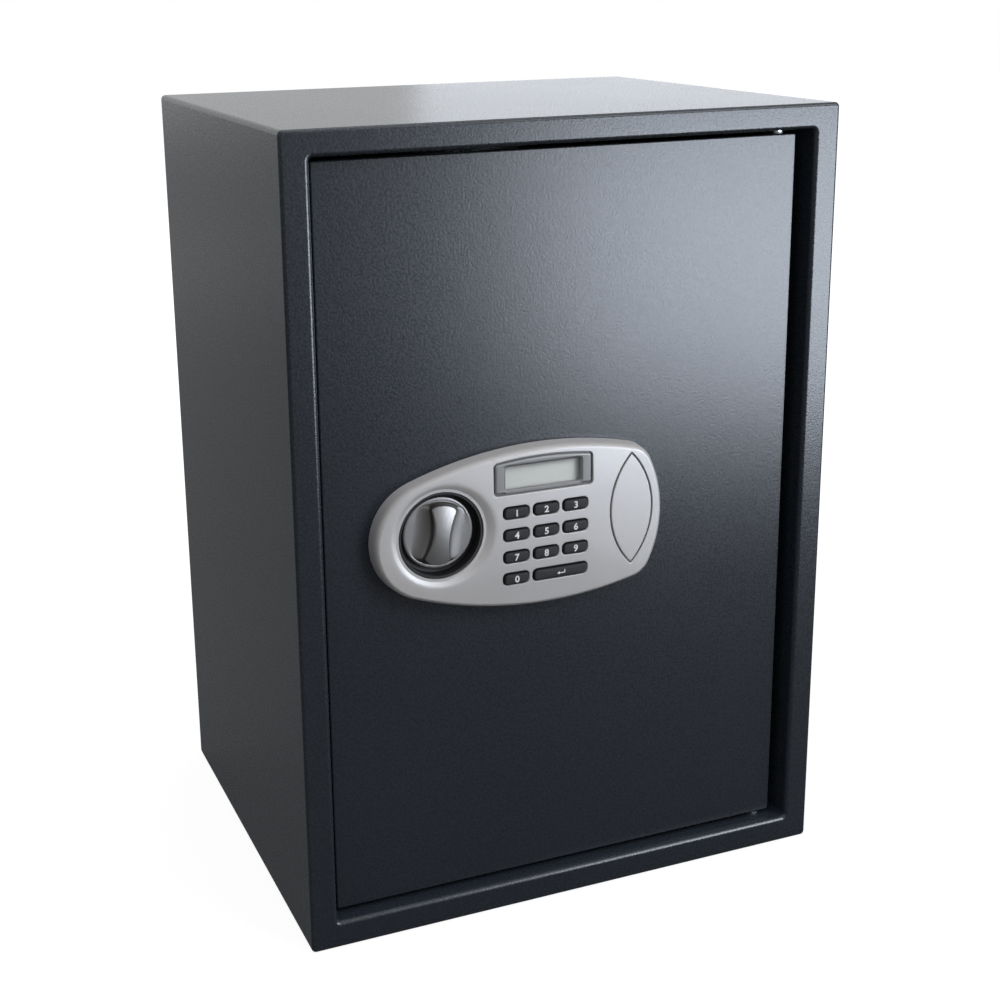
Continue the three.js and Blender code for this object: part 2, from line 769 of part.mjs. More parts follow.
// Five arcs over the panel's upper half, from its left end to its right end, each running
// smoothly into the next. The lower half mirrors them.
function panelArcs() {
  const half = panelHeight / 2;
  const leftRadius = (2 * crownLeftRadius * half - half ** 2 - panelCrown ** 2)
    / (2 * (crownLeftRadius - panelCrown));
  const leftEnd = new THREE.Vector2(leftRadius, 0);
  const crownLeft = new THREE.Vector2(panelCrown, half - crownLeftRadius);
  const crownRight = new THREE.Vector2(panelCrown, half - crownRightRadius);
  const rightEnd = new THREE.Vector2(panelLength - rightEndRadius, 0);
  const corner = circleMeeting(crownRight, crownRightRadius - panelCornerRadius,
    rightEnd, rightEndRadius - panelCornerRadius);
  const shoulder = leftEnd.clone().sub(crownLeft).angle();
  const entry = corner.clone().sub(crownRight).angle();
  const exit = corner.clone().sub(rightEnd).angle();
  return [
    { centre: leftEnd, radius: leftRadius, from: Math.PI, to: shoulder, steps: 8 },
    { centre: crownLeft, radius: crownLeftRadius, from: shoulder, to: Math.PI / 2, steps: 4 },
    { centre: crownRight, radius: crownRightRadius, from: Math.PI / 2, to: entry, steps: 4 },
    { centre: corner, radius: panelCornerRadius, from: entry, to: exit, steps: 5 },
    { centre: rightEnd, radius: rightEndRadius, from: exit, to: 0, steps: 3 },
  ];
}

function panelRing(inset, y, share = 1) {
  const upper = panelArcs().flatMap(({ centre, radius, from, to, steps }) =>
    Array.from({ length: steps }, (_, k) => {
      const angle = from + (k / steps) * (to - from);
      const reach = radius - inset;
      return [centre.x + reach * Math.cos(angle), centre.y + reach * Math.sin(angle)];
    }));
  const tip = [panelLength - inset, 0];
  const lower = upper.slice(1).reverse().map(([x, z]) => [x, -z]);
  return [...upper, tip, ...lower].map(([x, z]) =>
    new THREE.Vector3(panelCrown + share * (x - panelCrown), y, share * z - panelDrop));
}

const faceDepth = panelDepth - panelDome;
const shoulderStart = faceDepth - panelShoulderDepth;
const cavityDepth = faceDepth - panelWall + 1;

// The panel's outer body, moved forwards by lift: side, rounded shoulder and domed face.
function panelBody(lift = 0) {
  const rim = panelDraft + panelShoulderWidth;
  const shoulder = [0, 0.3, 0.64, 1].map((share) => {
    const angle = share * Math.PI / 2;
    const inset = panelDraft + panelShoulderWidth * (1 - Math.cos(angle));
    return panelRing(inset, -(shoulderStart + panelShoulderDepth * Math.sin(angle)) - lift);
  });
  const dome = [0.78, 0.42].map((share) =>
    panelRing(rim, -(faceDepth + panelDome * (1 - share ** 2)) - lift, share));
  return loft([panelRing(0, -seatGap), ...shoulder, ...dome], panelDome * 0.17);
}

// A pointed oval between two arcs, around the lock.
function lensRing(inset, y, steps = 9) {
  const arcRadius = (coverHalfHeight ** 2 + coverHalfWidth ** 2) / (2 * coverHalfWidth);
  const offset = arcRadius - coverHalfWidth;
  const radius = arcRadius - inset;
  const blunt = 0.985;
  const reach = Math.asin(Math.sqrt(radius ** 2 - offset ** 2) * blunt / radius);
  const side = (direction) => Array.from({ length: steps + 1 }, (_, k) => {
    const angle = (2 * k / steps - 1) * reach;
    return new THREE.Vector3(
      lockX + direction * (radius * Math.cos(angle) - offset), y, direction * radius * Math.sin(angle));
  });
  return [...side(1), ...side(-1)];
}

function lensPiece(inset, front, back) {
  return loft([lensRing(inset, -back), lensRing(inset, -front)]);
}

// The display's outline: straight sides and bottom, and a top that is slightly arched.
function displayRing(inset, y, steps = 8) {
  const rect = centredRect(displayX, displayUp, displayWidth, displayHeight, displayCornerRadius);
  const ring = rectangleRing(rect, inset, y, 3);
  const reach = (rect.right - rect.left) / 2;
  const arch = (x) => displayArch * (1 - ((x - displayX) / reach) ** 2);
  const [firstTop, lastTop] = [ring[3], ring[4]];
  const top = Array.from({ length: steps - 1 }, (_, k) => firstTop.clone().lerp(lastTop, (k + 1) / steps));
  const whole = [...ring.slice(0, 4), ...top, ...ring.slice(4)];
  return whole.map((p) => (p.z > displayUp ? new THREE.Vector3(p.x, p.y, p.z + arch(p.x)) : p));
}

// Rows of three keys, then a last row with the nought and the long key.
function keyPlaces() {
  const digits = Array.from({ length: 9 }, (_, k) => ({
    name: `key_${k + 1}`,
    x: firstColumnX + (k % 3) * columnPitch,
    up: firstRowUp - Math.floor(k / 3) * rowPitch,
    width: keyWidth,
  }));
  const last = firstRowUp - 3 * rowPitch;
  return [
    ...digits,
    { name: 'key_0', x: firstColumnX, up: last, width: keyWidth },
    { name: 'key_start', x: firstColumnX + 1.5 * columnPitch, up: last, width: keyWidth + columnPitch },
  ];
}

function keyOpening({ x, up, width }) {
  const rect = centredRect(x, up, width + 2 * keyPlay, keyHeight + 2 * keyPlay, keyCornerRadius + keyPlay);
  return loft([
    rectangleRing(rect, 0, -(cavityDepth - overCut), 2),
    rectangleRing(rect, 0, -(faceDepth + panelDome / 2 - keyBevel), 2),
    rectangleRing(rect, -2 * keyBevel, -(faceDepth + panelDome / 2 + keyBevel), 2),
  ]);
}

const lockFace = panelDepth - coverSeatDepth;

// The moulded housing, open at the back, with its well, pocket, bosses and openings.
function makePanelHousing() {
  const cavity = loft([
    panelRing(panelWall, overCut),
    panelRing(panelWall + panelDraft, -shoulderStart),
    panelRing(panelWall + panelDraft + panelShoulderWidth / 3, -cavityDepth),
  ]);
  const into = cavityDepth + overCut / 2;
  const boss = ([x, up]) => rod('y', [-into, -seatGap], [x, up], bossRadius, 16);
  const collar = rod('y', [-into, -(cavityDepth - wellCollarDepth)], [knobX, 0], wellRadius + wellCollar, 40);
  const pocket = lensPiece(-pocketWall, into, lockFace - pocketWall).intersect(panelBody());
  const bevelDepth = panelDepth - wellBevelDepth;
  const well = placed(turned([
    [0, -1], [wellRadius, -1], [wellRadius, -bevelDepth], [wellRadius + wellBevel, -panelDepth],
    [wellRadius + 2 * wellBevel, -(panelDepth + wellBevelDepth)], [0, -(panelDepth + wellBevelDepth)],
  ], 40), knobX, 0, 0);
  const displayOpening = loft([displayRing(0, -(cavityDepth - overCut)), displayRing(0, -(panelDepth + overCut))]);
  return cut(
    join(cut(panelBody(), cavity), ...panelScrewPlaces.map(boss), collar, pocket),
    well,
    displayOpening,
    ...keyPlaces().map(keyOpening),
    lensPiece(0, panelDepth + overCut, lockFace),
    rod('y', [-(lockFace + overCut), overCut], [lockX, 0], lockRadius + seatGap, 32),
    ...panelScrewPlaces.map(([x, up]) => rod(
      'y', [-(cavityDepth - overCut), overCut], [x, up], bossBoreRadius + runningGap, 12)),
  );
}

// The black cup that lines the well around the knob.
function makeKnobCup() {
  const outer = wellRadius - seatGap;
  const inner = outer - wellWall;
  const front = panelDepth - wellBevelDepth + seatGap;
  const hole = knobHubRadius + 0.5;
  return turned([
    [hole, -overCut], [outer, -overCut], [outer, -front], [inner, -front],
    [inner, -overCut - wellWall], [hole, -overCut - wellWall],
  ], 40);
}

// A waisted grip that runs across the knob's face and flares into it.
function gripRing(spread, depth, steps = 10) {
  const half = gripLength / 2 + spread * 0.4;
  const widthAt = (share) => gripWaistWidth + (gripEndWidth - gripWaistWidth) * share ** 2;
  const endShare = 0.8;
  const side = Array.from({ length: steps + 1 }, (_, k) => {
    const share = (1 - 2 * k / steps) * endShare;
    return [widthAt(share / endShare) / 2 + spread, share * half];
  });
  const endWidth = side[0][0];
  const cap = Array.from({ length: 5 }, (_, k) => {
    const angle = ((k + 1) / 6) * Math.PI;
    return [endWidth * Math.cos(angle), -endShare * half - (1 - endShare) * half * Math.sin(angle)];
  });
  const right = [...side, ...cap];
  const left = right.map(([x, z]) => [-x, -z]);
  return [...right, ...left].map(([x, z]) => new THREE.Vector3(x, -depth, z));
}

function makeKnob() {
  const face = panelDepth - knobFaceDepth;
  const crest = panelDepth - gripCrestDepth;
  const back = face - knobThickness;
  const hubEnd = 2 * seatGap;
  const disc = turned([
    [0, -face], [knobRadius * 0.72, -face], [knobRadius * 0.9, -face - 0.9], [knobRadius - 0.6, -face - 0.8],
    [knobRadius, -face], [knobRadius, -back], [knobHubRadius, -back], [knobHubRadius, -hubEnd], [0, -hubEnd],
  ], 36);
  const grip = loft([
    gripRing(gripFlare, face - overCut),
    gripRing(gripFlare, face),
    gripRing(gripFlare * 0.35, face + 2),
    gripRing(0.2, crest - 2),
    gripRing(-0.3, crest - 0.6),
    gripRing(-1.2, crest),
  ], 0.3);
  const bore = rod('y', [-face, 0], [0, 0], spindleRadius + seatGap);
  return cut(join(disc, grip), bore);
}

// The spindle with its arm welded on behind the carriage, whose pin moves it. The arm points
// straight down before it is turned.
function makeKnobSpindle() {
  const front = panelDepth - knobFaceDepth - seatGap;
  const camFront = doorPlateThickness + carriageBehindPlate + carriageSheet + 2 * seatGap;
  const camBack = camFront + camThickness;
  const shaft = rod('y', [-front, camBack + camThickness / 2], [0, 0], spindleRadius);
  const arm = armPlate(camHubRadius, camPinRadius + camPinWall, camReach, camFront, camBack);
  const pin = rod('y', [doorPlateThickness + carriageBehindPlate - overCut, camFront + overCut],
    [0, -camReach], camPinRadius, 16);
  return join(shaft, arm, pin);
}

// Display: a bezel held from behind, a clear window and the module on the board.
function makeDisplayBezel() {
  const front = panelDepth - displaySink;
  const seat = cavityDepth - seatGap;
  const flange = loft([displayRing(-displayRim, -(seat - displayRim)), displayRing(-displayRim, -seat)]);
  const body = loft([
    displayRing(displayRim, -(seat - displayRim)),
    displayRing(displayRim, -(front - 0.5)),
    displayRing(displayRim + 0.5, -front),
  ]);
  const pane = centredRect(displayX, displayUp, windowWidth, windowHeight, windowCornerRadius);
  const view = loft([
    rectangleRing(pane, 0, -(seat - 2 * displayRim)),
    rectangleRing(pane, 0, -(front - 1)),
    rectangleRing(pane, -1.5, -(front + 0.5)),
  ]);
  return cut(join(flange, body), view);
}

function windowRect(margin) {
  return centredRect(displayX, displayUp, windowWidth + 2 * margin, windowHeight + 2 * margin, windowCornerRadius);
}

const windowFront = cavityDepth - 2 * seatGap - displayRim;
const boardFront = cavityDepth - 2 * seatGap - keyFlangeThickness - keyTravel - matSheetThickness - 2 * seatGap;

function makeDisplayWindow() {
  return platePiece(windowRect(windowMargin), -windowFront, -(windowFront - windowThickness), 3);
}

function makeLcdModule() {
  const back = boardFront + seatGap;
  const front = Math.min(windowFront - windowThickness - seatGap, back + lcdThickness);
  return platePiece(windowRect(windowMargin / 2), -front, -back, 2);
}

function makeKeypadMat() {
  const back = boardFront + seatGap;
  const low = firstRowUp - 3.4 * rowPitch;
  const rect = {
    left: firstColumnX - columnPitch / 2,
    right: firstColumnX + 2.5 * columnPitch,
    low,
    high: firstRowUp + 0.4 * rowPitch,
    radius: keyCornerRadius,
  };
  return platePiece(rect, -(back + matSheetThickness), -back, 2);
}

// The circuit board with its processor and the lead's socket.
function makeControlBoard() {
  const back = boardFront - boardThickness;
  const board = block([boardLeft, boardLeft + boardWidth], [-boardFront, -back], [-boardHeight / 2, boardHeight / 2]);
  const chip = block([displayX - 6, displayX + 6], [-back - overCut, -back + 1.6], [0, 12]);
  const socket = block([leadHoleX - 5, leadHoleX + 5], [-back - overCut, -back + 3],
    [-leadHoleDown - 3, -leadHoleDown + 3]);
  return join(board, chip, socket);
}

// One key: a flange behind the housing's face and a cap with rounded edges, around its own middle.
function makeKey(width) {
  const rect = centredRect(0, 0, width, keyHeight, keyCornerRadius);
  const front = panelDepth + keyProud;
  const flange = keyPlay + keyFlange;
  const seat = cavityDepth - seatGap;
  return loft([
    rectangleRing(rect, -flange, -(seat - keyFlangeThickness), 2),
    rectangleRing(rect, -flange, -seat, 2),
    rectangleRing(rect, 0, -seat, 2),
    rectangleRing(rect, 0, -(front - keyRounding), 2),
    rectangleRing(rect, keyRounding * 0.35, -(front - keyRounding * 0.25), 2),
    rectangleRing(rect, keyRounding, -front, 2),
  ], 0.15);
}

// The emergency lock's cover: a piece of the panel's own face inside the pointed oval.
function makeOverrideCover() {
  const slab = lensPiece(coverGap, panelDepth + panelDome, lockFace + seatGap);
  return slab.intersect(panelBody(coverProud));
}

// The lock's body runs from the pocket through the plate, and its nut holds it from behind.
function makeOverrideLockBody() {
  const back = doorPlateThickness + lockBehindPlate;
  const barrel = rod('y', [-lockFace, back], [0, 0], lockRadius, 32);
  const nut = rod('y', [doorPlateThickness + seatGap, doorPlateThickness + seatGap + lockNutThickness],
    [0, 0], lockNutRadius, 6);
  return cut(join(barrel, nut), rod('y', [-(lockFace + overCut), back + overCut], [0, 0], cylinderRadius + runningGap));
}

function makeOverrideCylinder() {
  const back = doorPlateThickness + lockBehindPlate + seatGap;
  const plug = rod('y', [-lockFace, back], [0, 0], cylinderRadius);
  const half = lockTangSide / 2;
  const tang = block([-half, half], [back - overCut, back + lockCamThickness + 2 * seatGap], [-half, half]);
  const keyway = block([-keywayWidth / 2, keywayWidth / 2], [-(lockFace + overCut), keywayDepth - lockFace],
    [-keywayHeight / 2, keywayHeight / 2]);
  return cut(join(plug, tang), keyway);
}

function makeOverrideCam() {
  const front = doorPlateThickness + lockBehindPlate + 2 * seatGap;
  const back = front + lockCamThickness;
  const half = lockTangSide / 2 + seatGap;
  const arm = armPlate(cylinderRadius + 1, lockCamEndRadius, lockCamLength, front, back);
  return cut(arm, block([-half, half], [front - overCut, back + overCut], [-half, half]));
}

// Solenoid: its plunger stands on the carriage's tab while the bolts are drawn back.
const plungerY = doorPlateThickness + plungerBehindPlate;
const plungerLow = carriageTailTop + seatGap;
const collarLow = plungerLow + plungerCollarUp;
const collarHigh = collarLow + plungerCollarHeight;

function makeSolenoidPlunger() {
  const rodPiece = rod('z', [plungerLow, plungerLow + plungerLength], [0, plungerY], plungerRadius);
  const collar = rod('z', [collarLow, collarHigh], [0, plungerY], plungerCollarRadius);
  const flagFront = doorPlateThickness + lockBehindPlate + 2 * seatGap;
  const flagBack = flagFront + plungerFlagThickness;
  const half = plungerFlagWidth / 2;
  const bridge = block([-half, half], [plungerY, flagBack], [collarLow, collarHigh]);
  const flag = block([-half, half], [flagFront, flagBack], [lockCamEndRadius + 2 * seatGap, collarHigh]);
  return join(rodPiece, collar, bridge, flag);
}

function makeSolenoidFrame() {
  const half = solenoidFrameWidth / 2;
  const back = plungerY + solenoidFrameDepth / 2;
  const front = Math.max(plungerY - solenoidFrameDepth / 2, doorPlateThickness + seatGap);
  const high = solenoidFrameUp + solenoidFrameHeight;
  const yoke = block([-half, half], [front, back], [solenoidFrameUp, high]);
  const room = block([-half + solenoidSheet, half + overCut], [front - overCut, back + overCut],
    [solenoidFrameUp + solenoidSheet, high - solenoidSheet]);
  return cut(yoke, room, rod('z', [solenoidFrameUp - overCut, high + overCut], [0, plungerY],
    plungerRadius + 2 * runningGap));
}

function makeSolenoidCoil() {
  const bore = plungerRadius + 2 * runningGap;
  const [low, high] = [solenoidFrameUp + solenoidSheet + seatGap,
    solenoidFrameUp + solenoidFrameHeight - solenoidSheet - seatGap];
  const cheek = 1.5;
  const spool = turned([[bore, low], [coilRadius, low], [coilRadius, low + cheek], [coilRadius - 1, low + cheek],
    [coilRadius - 1, high - cheek], [coilRadius, high - cheek], [coilRadius, high], [bore, high]]);
  return placed(spool.rotate([90, 0, 0]), 0, plungerY, 0);
}

class SpringCurve extends THREE.Curve {
  constructor(radius, low, high, turns) {
    super();
    Object.assign(this, { radius, low, high, turns });
  }

  getPoint(t, target = new THREE.Vector3()) {
    const angle = 2 * Math.PI * this.turns * t;
    const z = this.low + t * (this.high - this.low);
    return target.set(this.radius * Math.cos(angle), plungerY + this.radius * Math.sin(angle), z);
  }
}

function makePlungerSpring() {
  const margin = seatGap + springWireRadius;
  const coil = new SpringCurve(plungerRadius + 2 * springWireRadius + seatGap,
    collarHigh + margin, solenoidFrameUp - margin, springTurns);
  return tube(coil, springWireRadius, springTurns * 7, 5);
}

// Batteries: a tray behind the inner cover's opening, its cells and the cover that clips on.
const trayBack = coverFront - seatGap;
const trayFront = trayBack - trayDepth;

function makeBatteryHolder() {
  const shell = block([trayLeft, trayLeft + trayWidth], [trayFront, trayBack], [trayLow, trayLow + trayHeight]);
  const room = block([trayLeft + trayWall, trayLeft + trayWidth - trayWall],
    [trayFront + trayWall, trayBack + overCut], [trayLow + trayWall, trayLow + trayHeight - trayWall]);
  return cut(shell, room);
}

function makeBatteryCell() {
  return turned([[0, 0], [cellRadius, 0], [cellRadius, cellLength], [cellNubRadius, cellLength],
    [cellNubRadius, cellLength + cellNubLength], [0, cellLength + cellNubLength]], 16).rotate([90, 0, 0]);
}

function makeBatteryCover() {
  const lid = {
    left: batteryOpening.left - batteryCoverMargin,
    right: batteryOpening.right + batteryCoverMargin,
    low: batteryOpening.low - batteryCoverMargin,
    high: batteryOpening.high + batteryCoverMargin,
    radius: batteryCoverMargin,
  };
  const front = coverRear + seatGap;
  const plate = loft([
    rectangleRing(lid, 0, front, 3),
    rectangleRing(lid, 0, front + batteryCoverThickness / 2, 3),
    rectangleRing(lid, batteryCoverThickness / 2, front + batteryCoverThickness, 3),
  ]);
  const plug = loft([
    rectangleRing(batteryOpening, seatGap, front + overCut / 2, 3),
    rectangleRing(batteryOpening, seatGap, front - batteryPlugDepth, 3),
  ]);
  const hollow = loft([
    rectangleRing(batteryOpening, seatGap + batteryCoverRim, front, 3),
    rectangleRing(batteryOpening, seatGap + batteryCoverRim, front - batteryPlugDepth - overCut, 3),
  ]);
  return join(plate, cut(plug, hollow));
}

// The lead from the tray to the board, inside the door.
function makeBatteryLead() {
  const [holeX, holeZ] = atPanel(leadHoleX, -leadHoleDown);
  const height = trayLow + trayWall + leadRadius;
  const depth = trayFront + trayWall + leadRadius;
  const socket = doorFace - boardFront + boardThickness + 3 + seatGap;
  const route = new THREE.CatmullRomCurve3([
    new THREE.Vector3(trayLeft - seatGap, depth, height),
    new THREE.Vector3(trayLeft - leadBend, depth, height),
    new THREE.Vector3((trayLeft + holeX) / 2, depth, (height + holeZ) / 2),
    new THREE.Vector3(holeX + leadBend, depth, holeZ),
    new THREE.Vector3(holeX, plateBack + leadBend / 2, holeZ),
    new THREE.Vector3(holeX, socket, holeZ),
  ]);
  return tube(route, leadRadius, 24, 7);
}

function makeResetSwitch() {
  const half = resetBodySide / 2;
  const back = coverFront - seatGap;
  const body = block([-half, half], [back - resetBodyDepth, back], [-half, half]);
  return cut(body, rod('y', [back - resetBore, back + overCut], [0, 0], resetRadius + runningGap, 16));
}

function makeResetButton() {
  const inner = coverFront - seatGap - resetBore / 2;
  return rod('y', [inner, coverRear + resetProud], [0, 0], resetRadius, 16);
}

// Finishes
const finish = (color, roughness, metalness) => new THREE.MeshStandardMaterial({ color, roughness, metalness });
const powderCoat = finish(0x2c323a, 0.62, 0.15);
const silverPlastic = finish(0x9c9ea1, 0.42, 0.25);
const knobSilver = finish(0x8e9092, 0.36, 0.35);
const blackPlastic = finish(0x0d0d0f, 0.5, 0);
const keyBlack = finish(0x141416, 0.55, 0);
const bezelGrey = finish(0x77797e, 0.45, 0.1);
const clearPane = finish(0xdfe6e4, 0.08, 0);
const lcdGreen = finish(0xcfd6d0, 0.3, 0);
const zincSteel = finish(0xb4b7ba, 0.35, 0.9);
const brightSteel = finish(0xc9cbce, 0.22, 1);
const springSteel = finish(0x8c8f93, 0.3, 1);
const brass = finish(0xb99a4b, 0.3, 1);
const copperWire = finish(0x9a5a32, 0.4, 0.6);
const boardGreen = finish(0x1f5a36, 0.5, 0);
const cellSleeve = finish(0x33363a, 0.35, 0.2);
const feltGrey = finish(0x33353a, 0.95, 0);
const resetRed = finish(0xa8201c, 0.4, 0);
const leadBlack = finish(0x1a1a1a, 0.6, 0);

function piece(name, solid, material) {
  const mesh = solid.getMesh();
  const geometry = new THREE.BufferGeometry();
  geometry.setAttribute('position', new THREE.BufferAttribute(mesh.vertProperties, 3));
  geometry.setIndex(new THREE.BufferAttribute(mesh.triVerts, 1));
  geometry.computeVertexNormals();
  const part = new THREE.Mesh(geometry, material);
  part.name = name;
  return part;
}

function placedPiece(name, solid, material, x, y, z) {
  const part = piece(name, solid, material);
  part.position.set(x, y, z);
  return part;
}

// Assembly
const safe = new THREE.Group();

const cabinet = new THREE.Group();
cabinet.add(
  piece('cabinet_wrap', makeCabinetWrap(), powderCoat),
  piece('back_panel', makeBackPanel(), powderCoat),
  piece('bolt_keeper', makeBoltKeeper(), zincSteel),
  piece('hinge_bracket_upper', makeHingeBracket(1), powderCoat),
  piece('hinge_bracket_lower', makeHingeBracket(-1), powderCoat),
  piece('hinge_pin_upper', makeHingePin(1), brightSteel),
  piece('hinge_pin_lower', makeHingePin(-1), brightSteel),
  piece('floor_mat', makeFloorMat(), feltGrey),
  piece('shelf_rail_left', makeShelfRail(-1), powderCoat),
  piece('shelf_rail_right', makeShelfRail(1), powderCoat),
  piece('shelf', makeShelf(), powderCoat),
);
safe.add(cabinet);

const doorGroup = new THREE.Group();
doorGroup.add(
  piece('door_plate', makeDoorPlate(), powderCoat),
  piece('door_channel', makeDoorChannel(), powderCoat),
  piece('inner_cover', makeInnerCover(), powderCoat),
  piece('pivot_block_upper', makePivotBlock(1), zincSteel),
  piece('pivot_block_lower', makePivotBlock(-1), zincSteel),
  piece('carriage_guide', makeCarriageGuide(), zincSteel),
  piece('bolt_carriage', makeBoltCarriage(), zincSteel),
  piece('bolt_lower', makeBolt(boltHeights[0]), brightSteel),
  piece('bolt_upper', makeBolt(boltHeights[1]), brightSteel),
  piece('battery_holder', makeBatteryHolder(), blackPlastic),
  piece('battery_cover', makeBatteryCover(), blackPlastic),
  piece('battery_lead', makeBatteryLead(), leadBlack),
  placedPiece('reset_switch', makeResetSwitch(), blackPlastic, resetX, 0, resetHeight),
  placedPiece('reset_button', makeResetButton(), resetRed, resetX, 0, resetHeight),
);
const cell = makeBatteryCell();
for (let k = 0; k < cellCount; k += 1) {
  const upright = k % 2 === 0;
  const low = trayLow + trayWall + seatGap;
  const sleeve = piece(`battery_cell_${k + 1}`, cell, cellSleeve);
  sleeve.position.set(trayLeft + trayWall + (k + 0.5) * cellPitch, trayFront + trayWall + seatGap + cellRadius,
    upright ? low : low + cellLength + cellNubLength);
  if (!upright) sleeve.rotation.x = Math.PI;
  doorGroup.add(sleeve);
}
safe.add(doorGroup);

const panel = new THREE.Group();
panel.position.set(panelLeft, doorFace, panelCentreHeight);
panel.add(
  piece('panel_housing', makePanelHousing(), silverPlastic),
  ...panelScrewPlaces.map(([x, up], k) => placedPiece(
    `panel_screw_${k + 1}`, makeScrew(panelScrewLength), zincSteel, x, doorPlateThickness + seatGap, up)),
  placedPiece('knob_cup', makeKnobCup(), blackPlastic, knobX, 0, 0),
  piece('display_bezel', makeDisplayBezel(), bezelGrey),
  piece('display_window', makeDisplayWindow(), clearPane),
  piece('lcd_module', makeLcdModule(), lcdGreen),
  piece('keypad_mat', makeKeypadMat(), blackPlastic),
  piece('control_board', makeControlBoard(), boardGreen),
  piece('override_cover', makeOverrideCover(), silverPlastic),
  placedPiece('override_lock_body', makeOverrideLockBody(), zincSteel, lockX, 0, 0),
  placedPiece('override_cylinder', makeOverrideCylinder(), brass, lockX, 0, 0),
  placedPiece('override_cam', makeOverrideCam(), zincSteel, lockX, 0, 0),
  placedPiece('solenoid_plunger', makeSolenoidPlunger(), brightSteel, plungerX, 0, 0),
  placedPiece('solenoid_frame', makeSolenoidFrame(), zincSteel, plungerX, 0, 0),
  placedPiece('solenoid_coil', makeSolenoidCoil(), copperWire, plungerX, 0, 0),
  placedPiece('plunger_spring', makePlungerSpring(), springSteel, plungerX, 0, 0),
);
for (const place of keyPlaces()) {
  panel.add(placedPiece(place.name, makeKey(place.width), keyBlack, place.x, 0, place.up));
}
const knobGroup = new THREE.Group();
knobGroup.position.set(knobX, 0, 0);
const knob = piece('knob', makeKnob(), knobSilver);
knob.rotation.y = THREE.MathUtils.degToRad(knobLean);
const spindle = piece('knob_spindle', makeKnobSpindle(), zincSteel);
spindle.rotation.y = Math.PI + THREE.MathUtils.degToRad(knobTurn / 2);
knobGroup.add(knob, spindle);
panel.add(knobGroup);
safe.add(panel);

export default safe;
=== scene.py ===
import math

import bpy
import numpy as np
from mathutils import Matrix, Vector


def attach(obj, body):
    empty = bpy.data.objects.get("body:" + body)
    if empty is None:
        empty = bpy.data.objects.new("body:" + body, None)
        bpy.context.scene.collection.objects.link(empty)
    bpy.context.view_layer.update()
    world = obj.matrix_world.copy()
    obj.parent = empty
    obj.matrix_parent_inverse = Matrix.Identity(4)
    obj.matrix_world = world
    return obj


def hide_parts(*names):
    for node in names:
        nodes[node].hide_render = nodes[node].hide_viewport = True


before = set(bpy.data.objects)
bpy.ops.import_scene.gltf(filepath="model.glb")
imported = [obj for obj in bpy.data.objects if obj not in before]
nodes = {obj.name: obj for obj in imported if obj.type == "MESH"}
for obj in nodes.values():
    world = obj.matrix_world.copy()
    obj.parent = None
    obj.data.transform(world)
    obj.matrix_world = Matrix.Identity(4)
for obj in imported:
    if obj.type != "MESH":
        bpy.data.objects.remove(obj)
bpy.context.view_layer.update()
scene = bpy.context.scene
MM = 0.001

# Studio: a camera a little above and to the left of the safe, a white surround, a floor that
# looks white and keeps the shadow, and large soft lamps. The floor's glow carries painted shade near
# the safe and a painted reflection glow further off.
scene.view_settings.view_transform = "Standard"

camera_data = bpy.data.cameras.new("camera")
camera_data.sensor_width = 36
camera_data.lens = 58.05
camera_data.shift_x = 0.042
camera_data.shift_y = -0.083
camera = bpy.data.objects.new("camera", camera_data)
view_right = (0.92524837, -0.37913261, -0.013188)
view_up = (0.11333509, 0.24307661, 0.96336334)
view_back = (-0.36203676, -0.89284502, 0.26787527)
camera.matrix_world = Matrix.Translation((-0.41629, -0.98081, 0.5814)) @ Matrix(
    (view_right, view_up, view_back)).transposed().to_4x4()
scene.collection.objects.link(camera)
scene.camera = camera


class Flow:
    """A socket of a node tree. Arithmetic on it adds Math nodes, and node() adds any other."""

    def __init__(self, tree, socket=None):
        self.tree = tree
        self.socket = socket

    def node(self, kind, settings=None, inputs=None, output=0):
        made = self.tree.nodes.new(kind)
        for name, value in (settings or {}).items():
            setattr(made, name, value)
        for name, value in (inputs or {}).items():
            if isinstance(value, Flow):
                self.tree.links.new(value.socket, made.inputs[name])
            else:
                made.inputs[name].default_value = value
        return Flow(self.tree, made.outputs[output])

    def math(self, operation, *values):
        return self.node("ShaderNodeMath", {"operation": operation}, dict(enumerate(values)))

    def __add__(self, other):
        return self.math("ADD", self, other)

    __radd__ = __add__

    def __mul__(self, other):
        return self.math("MULTIPLY", self, other)

    __rmul__ = __mul__

    def __sub__(self, other):
        return self.math("SUBTRACT", self, other)

    def __rsub__(self, other):
        return self.math("SUBTRACT", other, self)

    def at_least(self, other):
        return self.math("MAXIMUM", self, other)

    def into(self, shader, name):
        self.tree.links.new(self.socket, shader.inputs[name])


world = bpy.data.worlds.new("studio")
world.use_nodes = True
scene.world = world
surround = world.node_tree.nodes["Background"]
air = Flow(world.node_tree)
camera_ray = air.node("ShaderNodeLightPath", output="Is Camera Ray")
glossy_ray = air.node("ShaderNodeLightPath", output="Is Glossy Ray")
clear_ray = air.node("ShaderNodeLightPath", output="Is Transmission Ray")
shown = camera_ray.at_least(glossy_ray).at_least(clear_ray)
ambient = 0.42
surround.inputs["Strength"].default_value = 1
(shown * (1 - ambient) + ambient).into(surround, "Color")

